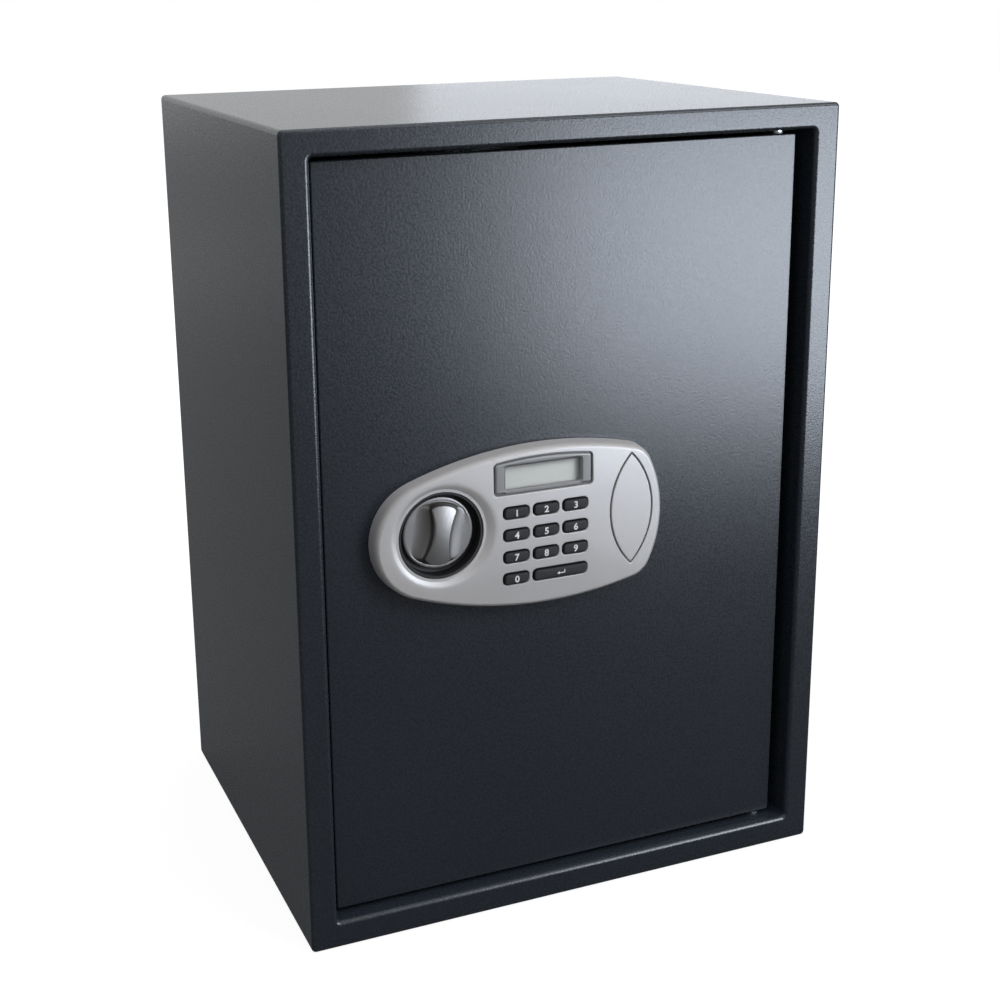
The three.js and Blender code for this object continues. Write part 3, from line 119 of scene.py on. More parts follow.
floor_mesh = bpy.data.meshes.new("floor")
floor_reach = 6
floor_mesh.from_pydata(
    [(-floor_reach, -floor_reach, 0), (floor_reach, -floor_reach, 0), (floor_reach, floor_reach, 0),
     (-floor_reach, floor_reach, 0)], [], [(0, 1, 2, 3)])
floor = bpy.data.objects.new("floor", floor_mesh)
floor_paint = bpy.data.materials.new("floor_paint")
floor_paint.use_nodes = True
floor_shader = floor_paint.node_tree.nodes["Principled BSDF"]
floor_shader.inputs["Base Color"].default_value = (0.18, 0.18, 0.18, 1)
floor_shader.inputs["Roughness"].default_value = 0.9
floor_shader.inputs["Specular IOR Level"].default_value = 0
floor_shader.inputs["Emission Strength"].default_value = 1
floor_air = Flow(floor_paint.node_tree)
floor_place = floor_air.node("ShaderNodeTexCoord", output="Object")
# Painted reflection: the floor glows only in reflections, and more with distance from a point in front of
# the safe, so the far floor mirrored in the coat reads lighter.
from_front = floor_place.node("ShaderNodeVectorMath", {"operation": "DISTANCE"},
                              {0: floor_place, 1: (0, -1.5, 0)}, output="Value")
painted_reflection_glow = from_front.node("ShaderNodeMapRange", {"interpolation_type": "SMOOTHSTEP"}, {
    "Value": from_front, "From Min": 2.8, "From Max": 5.2, "To Min": 0.05, "To Max": 0.3})
# Painted shade: the floor's own glow, as the camera sees it, is lower near the safe and rises to full white
# further out, so the floor is painted darker round the safe's foot.
from_middle = floor_place.node("ShaderNodeVectorMath", {"operation": "LENGTH"}, {0: floor_place},
                               output="Value")
painted_shade_floor_glow = from_middle.node("ShaderNodeMapRange", {"interpolation_type": "SMOOTHSTEP"}, {
    "Value": from_middle, "From Min": 0.4, "From Max": 1.3, "To Min": 0.88, "To Max": 1.0})
floor_seen = floor_air.node("ShaderNodeLightPath", output="Is Camera Ray").at_least(
    floor_air.node("ShaderNodeLightPath", output="Is Transmission Ray"))
floor_mirrored = floor_air.node("ShaderNodeLightPath", output="Is Glossy Ray")
(floor_seen * painted_shade_floor_glow + floor_mirrored * painted_reflection_glow).into(floor_shader, "Emission Color")
floor_mesh.materials.append(floor_paint)
scene.collection.objects.link(floor)

sheen_tint = (0.83, 0.9, 1)
for name, place, aim, width, height, power, diffuse, glossy in (
        ("key_lamp", (1.4, -1.95, 1.95), (0, -0.13, 0.3), 1.2, 1.2, 38, True, True),
        ("top_lamp", (0.1, -0.1, 2.4), (0, 0, 0), 1.6, 1.6, 24, True, True),
        ("back_fill", (-0.9, 2.5, 1.3), (0, 0.14, 0.3), 1.4, 1.4, 34, True, False),
        ("front_sheen", (0.535, -0.755, 0.303), (-0.13, 0.01, 0.28), 0.5, 0.39, 15.4, False, True),
        ("back_sheen", (1.9, 2.4, 0.6), (0.1, 0, 0.5), 2.0, 1.0, 9, False, True)):
    lamp_data = bpy.data.lights.new(name, "AREA")
    lamp_data.shape = "RECTANGLE"
    lamp_data.size = width
    lamp_data.size_y = height
    lamp_data.energy = power
    lamp_data.color = (1, 1, 1) if diffuse else sheen_tint
    lamp = bpy.data.objects.new(name, lamp_data)
    lamp.visible_camera = False
    lamp.visible_diffuse = diffuse
    lamp.visible_glossy = glossy
    away = Vector(place) - Vector(aim)
    lamp.matrix_world = Matrix.Translation(place) @ away.to_track_quat("Z", "Y").to_matrix().to_4x4()
    scene.collection.objects.link(lamp)

# Cabinet shell: one sheet of 2 mm steel folded round the top, sides, bottom and frame, welded at
# the back and powder coated. The folds have a soft radius, which the coat rounds further.


def principled(name, **constants):
    """A material with one Principled shader; what is constant is set on its own sockets."""
    material = bpy.data.materials.new(name)
    material.use_nodes = True
    shader = material.node_tree.nodes["Principled BSDF"]
    for socket, value in constants.items():
        shader.inputs[socket.replace("_", " ")].default_value = value
    return material, shader, Flow(material.node_tree)


def noise(flow, scale, detail=2, roughness=0.5, distortion=0):
    """Noise on the piece's own coordinates, with scale in patches to the metre."""
    place = flow.node("ShaderNodeTexCoord", output="Object")
    return flow.node("ShaderNodeTexNoise", {}, {"Vector": place, "Scale": scale, "Detail": detail,
                                                "Roughness": roughness, "Distortion": distortion})


def between(factor, low, high):
    """A colour between two, mixed by a factor."""
    return factor.node("ShaderNodeMix", {"data_type": "RGBA"},
                       {"Factor": factor, "A": (*low, 1), "B": (*high, 1)}, output=2)


def spread(value, low, high, to_low, to_high):
    """Stretches a value's range from low and high to to_low and to_high, and clips it there."""
    return value.node("ShaderNodeMapRange", {}, {"Value": value, "From Min": low, "From Max": high,
                                                 "To Min": to_low, "To Max": to_high})


def bump(height, distance, strength=1.0, under=None):
    """Relief from a height in metres, laid over another relief where one is given."""
    inputs = {"Height": height, "Distance": distance, "Strength": strength}
    if under is not None:
        inputs["Normal"] = under
    return height.node("ShaderNodeBump", {}, inputs)


def powder_coat(name, dark, light):
    """Baked powder: a fine orange peel with smaller specks in it, uneven in gloss."""
    material, shader, flow = principled(name, Specular_IOR_Level=0.24)
    peel = noise(flow, 700, 2, 0.5)
    specks = noise(flow, 1500, 1, 0.6)
    patches = noise(flow, 7, 3, 0.6)
    grain = spread(specks * 0.6 + peel * 0.4, 0.38, 0.62, 0, 1)
    tone = between(grain * 0.8 + patches * 0.2, dark, light)
    tone.into(shader, "Base Color")
    (spread(peel, 0.35, 0.65, 0.24, 0.29) + patches * 0.03).into(shader, "Roughness")
    coarse = bump(peel, 0.00008)
    bump(specks, 0.00005, 0.8, coarse).into(shader, "Normal")
    return material


coat = powder_coat("charcoal_powder_coat", (0.0125, 0.0162, 0.022), (0.027, 0.034, 0.0455))


def rounded_rectangle(low, high, radius, corner_steps, edge_steps=1):
    """A ring of points in x and z: four quarter circles, with each straight edge split evenly."""
    (left, bottom), (right, top) = low, high
    radius = max(radius, 0.01)
    turn = np.linspace(0, np.pi / 2, corner_steps + 1)
    centres = [(right - radius, top - radius), (left + radius, top - radius),
               (left + radius, bottom + radius), (right - radius, bottom + radius)]
    corners = [np.stack([x + radius * np.cos(turn + k * np.pi / 2),
                         z + radius * np.sin(turn + k * np.pi / 2)], axis=1)
               for k, (x, z) in enumerate(centres)]
    parts = []
    for k, corner in enumerate(corners):
        share = np.linspace(0, 1, edge_steps + 1)[1:-1, None]
        following = corners[(k + 1) % 4][0]
        parts += [corner, corner[-1] + share * (following - corner[-1])]
    return np.concatenate(parts)


def ring_at(outline, depth):
    """A ring in x and z at a depth along y."""
    depths = np.broadcast_to(depth, len(outline))
    return np.stack([outline[:, 0], depths, outline[:, 1]], axis=1)


def quads(rows, columns, loop):
    """Faces between neighbouring rows of a grid whose columns close on themselves."""
    row = np.arange(rows if loop else rows - 1)[:, None]
    column = np.arange(columns)[None]
    beside = (column + 1) % columns
    above = (row + 1) % rows
    return np.stack([row * columns + column, row * columns + beside,
                     above * columns + beside, above * columns + column], axis=-1).reshape(-1, 4)


def skin(name, rings, material, loop=False):
    """A closed surface over rings of equal count: its ends close in fans, or meet in a loop. Its
    faces are turned outwards by the sign of its volume."""
    rings = np.asarray(rings, dtype=float)
    rows, columns = rings.shape[:2]
    points = rings.reshape(-1, 3)
    faces = quads(rows, columns, loop).tolist()
    if not loop:
        points = np.concatenate([points, rings[0].mean(axis=0)[None], rings[-1].mean(axis=0)[None]])
        first, last = rows * columns, rows * columns + 1
        end = (rows - 1) * columns
        faces += [(first, (k + 1) % columns, k) for k in range(columns)]
        faces += [(last, end + k, end + (k + 1) % columns) for k in range(columns)]
    mesh = bpy.data.meshes.new(name)
    mesh.from_pydata((points * MM).tolist(), [], faces)
    mesh.update()
    mesh.calc_loop_triangles()
    corners = np.empty(len(mesh.loop_triangles) * 3, dtype=np.int32)
    mesh.loop_triangles.foreach_get("vertices", corners)
    triangles = (points * MM)[corners].reshape(-1, 3, 3)
    volume = np.einsum("ij,ij->i", triangles[:, 0], np.cross(triangles[:, 1], triangles[:, 2])).sum()
    if volume < 0:
        mesh.flip_normals()
    mesh.materials.append(material)
    piece = bpy.data.objects.new(name, mesh)
    scene.collection.objects.link(piece)
    return piece


def carve(piece, cutters, operation="DIFFERENCE"):
    """Cuts the cutters out of a piece, or joins them to it, for good."""
    for cutter in cutters:
        step = piece.modifiers.new("carve", "BOOLEAN")
        step.operation = operation
        step.solver = "MANIFOLD"
        step.object = cutter
        bpy.context.view_layer.update()
        result = bpy.data.meshes.new_from_object(piece.evaluated_get(bpy.context.evaluated_depsgraph_get()))
        piece.modifiers.remove(step)
        piece.data = result
        bpy.data.objects.remove(cutter)


def finish_piece(piece, body, slot, *replaced, crease=32):
    """Smooth shading between sharp creases, weighted by face size, then the ride."""
    piece.data.polygons.foreach_set("use_smooth", [True] * len(piece.data.polygons))
    piece.data.set_sharp_from_angle(angle=math.radians(crease))
    weighted = piece.modifiers.new("even_shading", "WEIGHTED_NORMAL")
    weighted.keep_sharp = True
    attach(piece, body)
    if replaced:
        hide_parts(*replaced)


def bar(axis, span, place, radius):
    """A round bar along one axis, used to drill a hole."""
    turn = np.linspace(0, 2 * np.pi, 48, endpoint=False)
    flat = np.stack([place[0] + radius * np.cos(turn), place[1] + radius * np.sin(turn)], axis=1)
    order = {"x": [0, 1, 2], "y": [1, 0, 2], "z": [1, 2, 0]}[axis]
    rings = [np.insert(flat, 0, at, axis=1)[:, order] for at in span]
    return skin("drill", rings, coat)


cabinet_low, cabinet_high = np.array([-178.0, 0.0]), np.array([178.0, 500.0])
opening_low, opening_high = np.array([-161.0, 17.5]), np.array([161.0, 484.5])
front, back, sheet, fold, lip_end = -144.0, 144.0, 2.0, 3.0, -99.0
edge, inner_edge, inner_fold = 2.2, 3.0, 2


def around(low, high, radius, inset, depth):
    """A ring at a depth: a rounded rectangle moved inwards by inset."""
    return ring_at(rounded_rectangle(low + inset, high - inset, radius - inset, 8), depth)


quarter = np.linspace(0, np.pi / 2, 9)
shell_rings = [around(cabinet_low, cabinet_high, fold, 0, back)]
shell_rings += [around(cabinet_low, cabinet_high, fold, edge * (1 - math.cos(a)),
                       front + edge * (1 - math.sin(a))) for a in quarter]
shell_rings += [around(opening_low, opening_high, inner_fold, -inner_edge * (1 - math.sin(a)),
                       front + inner_edge * (1 - math.cos(a))) for a in quarter]
shell_rings += [around(opening_low, opening_high, inner_fold, 0, lip_end),
                around(opening_low, opening_high, inner_fold, -sheet, lip_end),
                around(opening_low, opening_high, inner_fold, -sheet, front + sheet),
                around(cabinet_low, cabinet_high, fold, sheet, front + sheet),
                around(cabinet_low, cabinet_high, fold, sheet, back)]
shell = skin("cabinet_shell", shell_rings, coat, loop=True)
bolt_heights, bolt_depth, bolt_hole_radius = (179.0, 339.0), -112.0, 10
pivot_x, pivot_y, pivot_hole_radius = 146.0, -124.0, 4.3
fixing_x, fixing_y, fixing_hole_radius = 90, 20, 5
carve(shell, [bar("x", (-165, -159), (bolt_depth, height), bolt_hole_radius)
              for height in bolt_heights]
      + [bar("z", span, (pivot_x, pivot_y), pivot_hole_radius) for span in ((14, 19), (483, 488))]
      + [bar("z", (-1, 3), (side * fixing_x, fixing_y), fixing_hole_radius) for side in (-1, 1)])
finish_piece(shell, "cabinet", "powder_coat", "cabinet_wrap")

# Door, back, inner cover, shelf, rails and hinge brackets: flat and folded sheet steel with the same
# kind of coat, which is a little paler inside the cabinet.
inner_coat = powder_coat("inner_powder_coat", (0.017, 0.02, 0.025), (0.036, 0.041, 0.048))


def dress(material, *names):
    """Gives a material to the pieces that keep the shape of their solids."""
    for name in names:
        mesh = nodes[name].data
        mesh.materials.clear()
        mesh.materials.append(material)


dress(coat, "door_plate", "back_panel")
dress(inner_coat, "door_channel", "inner_cover", "shelf", "shelf_rail_left", "shelf_rail_right",
      "hinge_bracket_upper", "hinge_bracket_lower")

# Floor mat: dark needled felt, cut to the cabinet's floor and glued down, with a short nap of
# loose fibres over it.
felt, felt_shader, felt_flow = principled("floor_felt", Roughness=0.96, Specular_IOR_Level=0.1,
                                          Sheen_Weight=0.35)
fibres = noise(felt_flow, 1500, 4, 0.75, 1.5)
tufts = noise(felt_flow, 160, 3, 0.6)
between(fibres * 0.6 + tufts * 0.4, (0.012, 0.012, 0.014), (0.06, 0.06, 0.066)).into(
    felt_shader, "Base Color")
bump(fibres, 0.0004, 0.9).into(felt_shader, "Normal")
dress(felt, "floor_mat")

# Plated and ground steel: the bolt carriage with its guide and keeper, the pivot blocks, solenoid
# frame, lock body, spindle and screws are zinc plated, and the bolts, pins, plunger and spring are
# bare. Both are a little cloudy and finely scratched.


def plated_steel(name, low, high, rough, metallic=1.0):
    """Metal or foil: cloudy in tone and gloss, with fine scratches."""
    material, shader, flow = principled(name, Metallic=metallic)
    cloud = noise(flow, 90, 4, 0.65)
    scratches = noise(flow, 1800, 2, 0.5)
    between(cloud, low, high).into(shader, "Base Color")
    (spread(cloud, 0.3, 0.7, rough, rough + 0.14) + scratches * 0.05).into(shader, "Roughness")
    bump(scratches, 0.00004, 0.5).into(shader, "Normal")
    return material


zinc = plated_steel("zinc_plate", (0.44, 0.45, 0.47), (0.62, 0.63, 0.63), 0.3)
ground_steel = plated_steel("ground_steel", (0.36, 0.37, 0.38), (0.47, 0.48, 0.49), 0.3)
dress(zinc, "bolt_keeper", "pivot_block_upper", "pivot_block_lower", "carriage_guide", "bolt_carriage",
      "solenoid_frame", "override_lock_body", "override_cam", "knob_spindle", "panel_screw_1",
      "panel_screw_2", "panel_screw_3")
dress(ground_steel, "hinge_pin_upper", "hinge_pin_lower", "bolt_lower", "bolt_upper", "solenoid_plunger",
      "plunger_spring")

# Pieces inside the door: enamelled coil, brass lock cylinder, green board, sleeved cells, rubber
# lead and moulded holders, out of sight while the door is shut.
copper = plated_steel("enamelled_copper", (0.42, 0.16, 0.07), (0.6, 0.27, 0.12), 0.28, 0.8)
brass = plated_steel("brass", (0.55, 0.4, 0.16), (0.7, 0.54, 0.26), 0.22)
board, board_shader, board_flow = principled("circuit_board", Coat_Weight=0.4)
tracks = noise(board_flow, 420, 1, 0.4)
between(spread(tracks, 0.46, 0.5, 0, 1), (0.012, 0.07, 0.03), (0.025, 0.13, 0.055)).into(
    board_shader, "Base Color")
spread(tracks, 0.3, 0.7, 0.35, 0.55).into(board_shader, "Roughness")
sleeve = plated_steel("cell_sleeve", (0.03, 0.032, 0.036), (0.06, 0.063, 0.07), 0.24, 0.2)


def moulded(name, low, high, rough, grain=1400, depth=0.00006, specular=0.5):
    """Moulded plastic or rubber: an even tone, with a fine spark-eroded grain."""
    material, shader, flow = principled(name, Specular_IOR_Level=specular)
    fine = noise(flow, grain, 2, 0.5)
    wide = noise(flow, 45, 3, 0.6)
    between(fine * 0.5 + wide * 0.5, low, high).into(shader, "Base Color")
    (spread(fine, 0.35, 0.65, rough, rough + 0.1) + wide * 0.05).into(shader, "Roughness")
    bump(fine, depth, 0.6).into(shader, "Normal")
    return material


black_plastic = moulded("black_plastic", (0.004, 0.004, 0.005), (0.01, 0.01, 0.012), 0.55, specular=0.25)
lead_rubber = moulded("lead_rubber", (0.008, 0.008, 0.008), (0.018, 0.018, 0.018), 0.5)
red_plastic = moulded("red_plastic", (0.3, 0.012, 0.01), (0.42, 0.022, 0.018), 0.28)
dress(copper, "solenoid_coil")
dress(brass, "override_cylinder")
dress(board, "control_board")
dress(sleeve, *(f"battery_cell_{k}" for k in range(1, 5)))
dress(black_plastic, "battery_holder", "battery_cover", "reset_switch")
dress(lead_rubber, "battery_lead")
dress(red_plastic, "reset_button")

# Panel housing: injection-moulded, lacquered silver, screwed on from behind the door's plate. Its
# outline is five arcs over and five under, its side turns into a soft shoulder and a domed face.
panel_place = np.array([-131.0, -134.0, 259.0])
length, half_height, crown, drop = 190.5, 50.7, 111.7, 3.3
crown_left, crown_right, end_radius, corner_radius = 253.0, 249.0, 78.0, 17.6
arc_steps = (46, 26, 28, 16, 24)


def panel_arcs():
    """Centre, radius and first and last angle of each arc over the panel's upper half."""
    left_radius = ((2 * crown_left * half_height - half_height ** 2 - crown ** 2)
                   / (2 * (crown_left - crown)))
    a, b = np.array([crown, half_height - crown_right]), np.array([length - end_radius, 0.0])
    radius_a, radius_b = crown_right - corner_radius, end_radius - corner_radius
    along = b - a
    distance = np.hypot(*along)
    along /= distance
    step = (radius_a ** 2 - radius_b ** 2 + distance ** 2) / (2 * distance)
    corner = a + step * along + math.sqrt(radius_a ** 2 - step ** 2) * np.array([along[1], -along[0]])
    left = np.array([left_radius, 0.0])
    top = np.array([crown, half_height - crown_left])
    shoulder = math.atan2(*(left - top)[::-1])
    entry = math.atan2(*(corner - a)[::-1])
    leave = math.atan2(*(corner - b)[::-1])
    return ((left, left_radius, math.pi, shoulder), (top, crown_left, shoulder, math.pi / 2),
            (a, crown_right, math.pi / 2, entry), (corner, corner_radius, entry, leave),
            (b, end_radius, leave, 0.0))


def panel_outline(inset=0.0):
    """The panel's outline moved inwards by inset, its lower half a mirror image of its upper."""
    upper = []
    for (centre, radius, start, stop), steps in zip(panel_arcs(), arc_steps):
        turn = np.linspace(start, stop, steps, endpoint=False)[:, None]
        upper.append(centre + (radius - inset) * np.concatenate([np.cos(turn), np.sin(turn)], axis=1))
    upper = np.concatenate(upper)
    lower = upper[:0:-1] * (1, -1)
    ring = np.concatenate([upper, [[length - inset, 0.0]], lower])
    return ring - (0, drop)


draft, shoulder_width, shoulder_depth, face_depth, dome = 0.5, 3.0, 5.0, 11.6, 1.4
rim_inset = draft + shoulder_width
outline_points = panel_outline()
rim_points = panel_outline(rim_inset) - (crown, -drop)
rim_angle = np.unwrap(np.arctan2(rim_points[:, 1], rim_points[:, 0]))
rim_reach = np.hypot(rim_points[:, 0], rim_points[:, 1])
rim_order = np.argsort(rim_angle % (2 * np.pi))


def face_at(flat):
    """How far the panel's face stands out at points in x and z: the dome, or the shoulder beyond it."""
    flat = np.atleast_2d(flat)
    centred = flat - (crown, -drop)
    angle = np.arctan2(centred[:, 1], centred[:, 0]) % (2 * np.pi)
    reach = np.interp(angle, (rim_angle % (2 * np.pi))[rim_order], rim_reach[rim_order], period=2 * np.pi)
    share = np.minimum(np.hypot(centred[:, 0], centred[:, 1]) / reach, 1)
    inset = np.linalg.norm(flat[:, None] - outline_points[None], axis=2).min(axis=1)
    over = np.clip((rim_inset - inset) / shoulder_width, 0, 1)
    shoulder = face_depth - shoulder_depth * (1 - np.sqrt(1 - over ** 2))
    return np.where(over > 0, shoulder, face_depth + dome * (1 - share ** 2))


def on_panel(points):
    """Moves points from the panel's own origin to its place on the door."""
    return np.asarray(points) + panel_place


silver, silver_shader, silver_flow = principled("silver_lacquer", Specular_IOR_Level=0.5)
flakes = noise(silver_flow, 5200, 1, 0.6)
cloud = noise(silver_flow, 30, 3, 0.55)
silver_tone = spread(flakes, 0.35, 0.65, 0.2, 0.8) + cloud * 0.15
between(silver_tone, (0.37, 0.365, 0.373), (0.475, 0.469, 0.477)).into(silver_shader, "Base Color")
spread(flakes, 0.3, 0.7, 0.0, 0.16).into(silver_shader, "Metallic")
(spread(cloud, 0.3, 0.7, 0.41, 0.46) + flakes * 0.06).into(silver_shader, "Roughness")
bump(flakes, 0.00003, 0.6).into(silver_shader, "Normal")

turns = np.linspace(0, np.pi / 2, 15)
knob_centre = np.array([42.3, 0.0])
well_radius, well_bevel, well_depth, well_mouth = 27.0, 7.0, 3.0, 10.0
well_lip, blend, flare_reach, flare_share = 0.25, 0.3, 9, 0.8
to_rim = panel_outline(rim_inset) - knob_centre
rim_distance = np.hypot(*to_rim.T)
rim_direction = to_rim / rim_distance[:, None]
flare_end = well_radius + np.minimum(flare_reach, flare_share * (rim_distance - well_radius))


def face_ring(distance):
    """A ring at a distance from the knob's axis, on the lower of the domed face f and the well's cone
    c, blended as (f + c - sqrt((f - c) ** 2 + blend)) / 2."""
    flat = knob_centre + rim_direction * distance[:, None]
    face = face_at(flat)
    cone = well_mouth + (distance - well_radius) * well_depth / well_bevel
    return ring_at(flat, -(face + cone - np.sqrt((face - cone) ** 2 + blend)) / 2)


body_back, back_edge = -0.3, 0.25
body_rings = [ring_at(panel_outline(back_edge), body_back), ring_at(panel_outline(0), 2 * body_back)]
body_rings += [ring_at(panel_outline(draft + shoulder_width * (1 - math.cos(a))),
                       -(face_depth - shoulder_depth * (1 - math.sin(a)))) for a in turns[:-1]]
body_rings += [face_ring(flare_end + (rim_distance - flare_end) * share)
               for share in np.linspace(1, 0, 25)[:-1]]
body_rings += [face_ring(well_radius + well_lip + (flare_end - well_radius - well_lip) * share)
               for share in np.linspace(1, 0, 27)]
well_edge = knob_centre + rim_direction * well_radius
body_rings += [ring_at(well_edge, -well_mouth + 0.35), ring_at(well_edge, body_back)]
housing = skin("panel_body", on_panel(body_rings), silver, loop=True)
wall, wall_slope, hollow_shoulder, hollow_depth = 2.2, 0.5, 6.6, 10.4
hollow_rings = [ring_at(panel_outline(wall), 1), ring_at(panel_outline(wall + wall_slope), -hollow_shoulder),
                ring_at(panel_outline(wall + wall_slope + 1), -hollow_depth)]
hollow = skin("hollow", on_panel(hollow_rings), silver)


def turned_rings(profile, centre, sides=128):
    """Rings of a turned form: each row of the profile is a radius and a depth along y."""
    turn = np.linspace(0, 2 * np.pi, sides, endpoint=False)
    return [np.stack([centre[0] + radius * np.cos(turn), np.full(sides, depth),
                      centre[1] + radius * np.sin(turn)], axis=1) for radius, depth in profile]


def sunk_rings(outline, floor_depth, lip):
    """A cutter for an opening: straight from its floor, then a rounded lip that follows the face."""
    rings = [ring_at(outline(0), -floor_depth)]
    for a in np.linspace(0, np.pi / 2, 6):
        flat = outline(lip * (1 - math.cos(a)))
        rings.append(ring_at(flat, -(face_at(flat) - lip * (1 - math.sin(a)))))
    flat = outline(lip)
    rings.append(ring_at(flat, -(face_at(flat) + 3)))
    return rings


collar_inner, collar_outer, collar_back = 27.1, 29, -5.4
joined_at = -(hollow_depth + 0.3)
collar_rings = turned_rings(((collar_inner, collar_back), (collar_outer, collar_back),
                             (collar_outer, joined_at), (collar_inner, joined_at)), knob_centre, 96)

first_column, first_row, column_pitch, row_pitch = 89.7, 8.5, 19.6, 14.0
key_width, key_height, key_radius = 15.8, 6.4, 2.2
keys = [(f"key_{k + 1}", first_column + (k % 3) * column_pitch, first_row - (k // 3) * row_pitch, key_width)
        for k in range(9)]
keys += [("key_0", first_column, first_row - 3 * row_pitch, key_width),
         ("key_start", first_column + 1.5 * column_pitch, first_row - 3 * row_pitch,
          key_width + column_pitch)]


def key_outline(x, z, width, grow):
    """A rounded rectangle about a key's middle, moved out by grow."""
    half = np.array([width / 2 + grow, key_height / 2 + grow])
    centre = np.array([x, z])
    return rounded_rectangle(centre - half, centre + half, key_radius + grow, 10, 4)


display_centre, display_size = (108.3, 29.8), (65.6, 20.2)
display_radius, display_arch = 2.6, 2.4


def display_outline(grow):
    """The display's outline: a rounded rectangle whose upper half lifts in a shallow arch."""
    half = np.array(display_size) / 2 + grow
    centre = np.array(display_centre)
    ring = rounded_rectangle(centre - half, centre + half, display_radius + grow, 8, 16)
    share = (ring[:, 0] - centre[0]) / (display_size[0] / 2)
    lift = np.where(ring[:, 1] > centre[1], display_arch * (1 - np.minimum(share ** 2, 1)), 0)
    return ring + np.stack([np.zeros_like(lift), lift], axis=1)


lens_centre, lens_half_height, lens_half_width, lens_blunt = 167.8, 36.4, 15.0, 0.985


def lens_outline(grow):
    """A pointed oval between two arcs, blunted at its tips."""
    arc = (lens_half_height ** 2 + lens_half_width ** 2) / (2 * lens_half_width)
    offset, radius = arc - lens_half_width, arc + grow
    reach = math.asin(math.sqrt(radius ** 2 - offset ** 2) * lens_blunt / radius)
    turn = np.linspace(-reach, reach, 40)
    side = np.stack([radius * np.cos(turn) - offset, radius * np.sin(turn)], axis=1)
    return np.concatenate([side, -side]) + (lens_centre, 0)


pocket_wall, pocket_back, pocket_floor, lock_hole_radius = 1.2, -7.6, 9.2, 9.8
opening_back, key_clearance = 9.4, 0.8
pocket = [ring_at(lens_outline(pocket_wall), depth) for depth in (pocket_back, joined_at)]
lock_hole = turned_rings(((lock_hole_radius, -10.5), (lock_hole_radius, 1)), (lens_centre, 0), 48)
carve(housing, [hollow])
carve(housing, [skin("collar", on_panel(collar_rings), silver, loop=True),
                skin("pocket", on_panel(pocket), silver)], "UNION")
cutters = [skin("display_cut", on_panel(sunk_rings(display_outline, opening_back, 0.5)), silver),
           skin("lens_cut", on_panel(sunk_rings(lens_outline, pocket_floor, 0.4)), silver),
           skin("lock_cut", on_panel(lock_hole), silver)]
for name, x, z, width in keys:
    opening = sunk_rings(lambda grow: key_outline(x, z, width, grow + key_clearance), opening_back, 0.6)
    cutters.append(skin(f"{name}_cut", on_panel(opening), silver))
carve(housing, cutters)
finish_piece(housing, "door", "silver_plastic", "panel_housing", crease=28)

# Well of the knob: a black moulded cup that is pressed into the housing's collar from behind. Its
# wall is plain, its lip is rounded, and the spindle passes through the hole in its floor.
cup_hole, cup_inner, cup_outer, cup_back, cup_floor, cup_lip = 7.5, 25.3, 26.7, -1.0, -2.4, -10.0
cup_profile = [(cup_hole, cup_back), (cup_outer, cup_back), (cup_outer, cup_lip + 0.2),
               (cup_outer - 0.2, cup_lip), (cup_inner + 0.2, cup_lip), (cup_inner, cup_lip + 0.2),
               (cup_inner, cup_floor - 1), (cup_inner - 0.3, cup_floor - 0.3),
               (cup_inner - 1, cup_floor), (cup_hole, cup_floor)]
cup = skin("knob_well", on_panel(turned_rings(cup_profile, knob_centre)), black_plastic, loop=True)
finish_piece(cup, "door", "black_plastic", "knob_cup")

# Knob: a moulded disc with a waisted grip across it, silver lacquered, pushed on the spindle. One
# skin runs from the hub over the rim and up the grip's scooped flanks to its crest.
knob_lacquer, knob_shader, knob_flow = principled("knob_lacquer", Specular_IOR_Level=0.4)
knob_flakes = noise(knob_flow, 5200, 1, 0.6)
between(knob_flakes, (0.112, 0.109, 0.107), (0.152, 0.148, 0.146)).into(knob_shader, "Base Color")
spread(knob_flakes, 0.3, 0.7, 0.8, 0.92).into(knob_shader, "Metallic")
spread(knob_flakes, 0.3, 0.7, 0.38, 0.46).into(knob_shader, "Roughness")
bump(knob_flakes, 0.00003, 0.5).into(knob_shader, "Normal")
knob_lean = math.radians(9)
grip_half_length, grip_end, grip_waist, grip_straight = 18.5, 8.1, 5.3, 0.8
circle = np.linspace(0, 2 * np.pi, 256, endpoint=False)
unit = np.stack([np.cos(circle), np.sin(circle)], axis=1)


def grip_outline(grow):
    """A waisted bar with round ends as a reach from its middle at even angles, moved out by grow."""
    reach = grip_half_length + 0.4 * grow
    height = np.linspace(1, -1, 241) * grip_straight
    width = grip_waist + (grip_end - grip_waist) * (height / grip_straight) ** 2 + grow
    cap = np.linspace(0, np.pi, 61)[1:-1]
    side = np.stack([width, height * reach], axis=1)
    share = grip_straight + (1 - grip_straight) * np.sin(cap)
    end = np.stack([width[-1] * np.cos(cap), -share * reach], axis=1)
    ring = np.concatenate([side, end, -side, -end])
    angle = np.arctan2(ring[:, 1], ring[:, 0]) % (2 * np.pi)
    order = np.argsort(angle)
    return unit * np.interp(circle, angle[order], np.hypot(*ring[order].T), period=2 * np.pi)[:, None]


def knob_ring(flat, depth):
    """Leans a flat ring clockwise by the knob's rest angle and sets it at the knob's place."""
    c, s = math.cos(knob_lean), math.sin(knob_lean)
    leaned = np.stack([flat[:, 0] * c + flat[:, 1] * s, flat[:, 1] * c - flat[:, 0] * s], axis=1)
    return ring_at(leaned + knob_centre, depth)


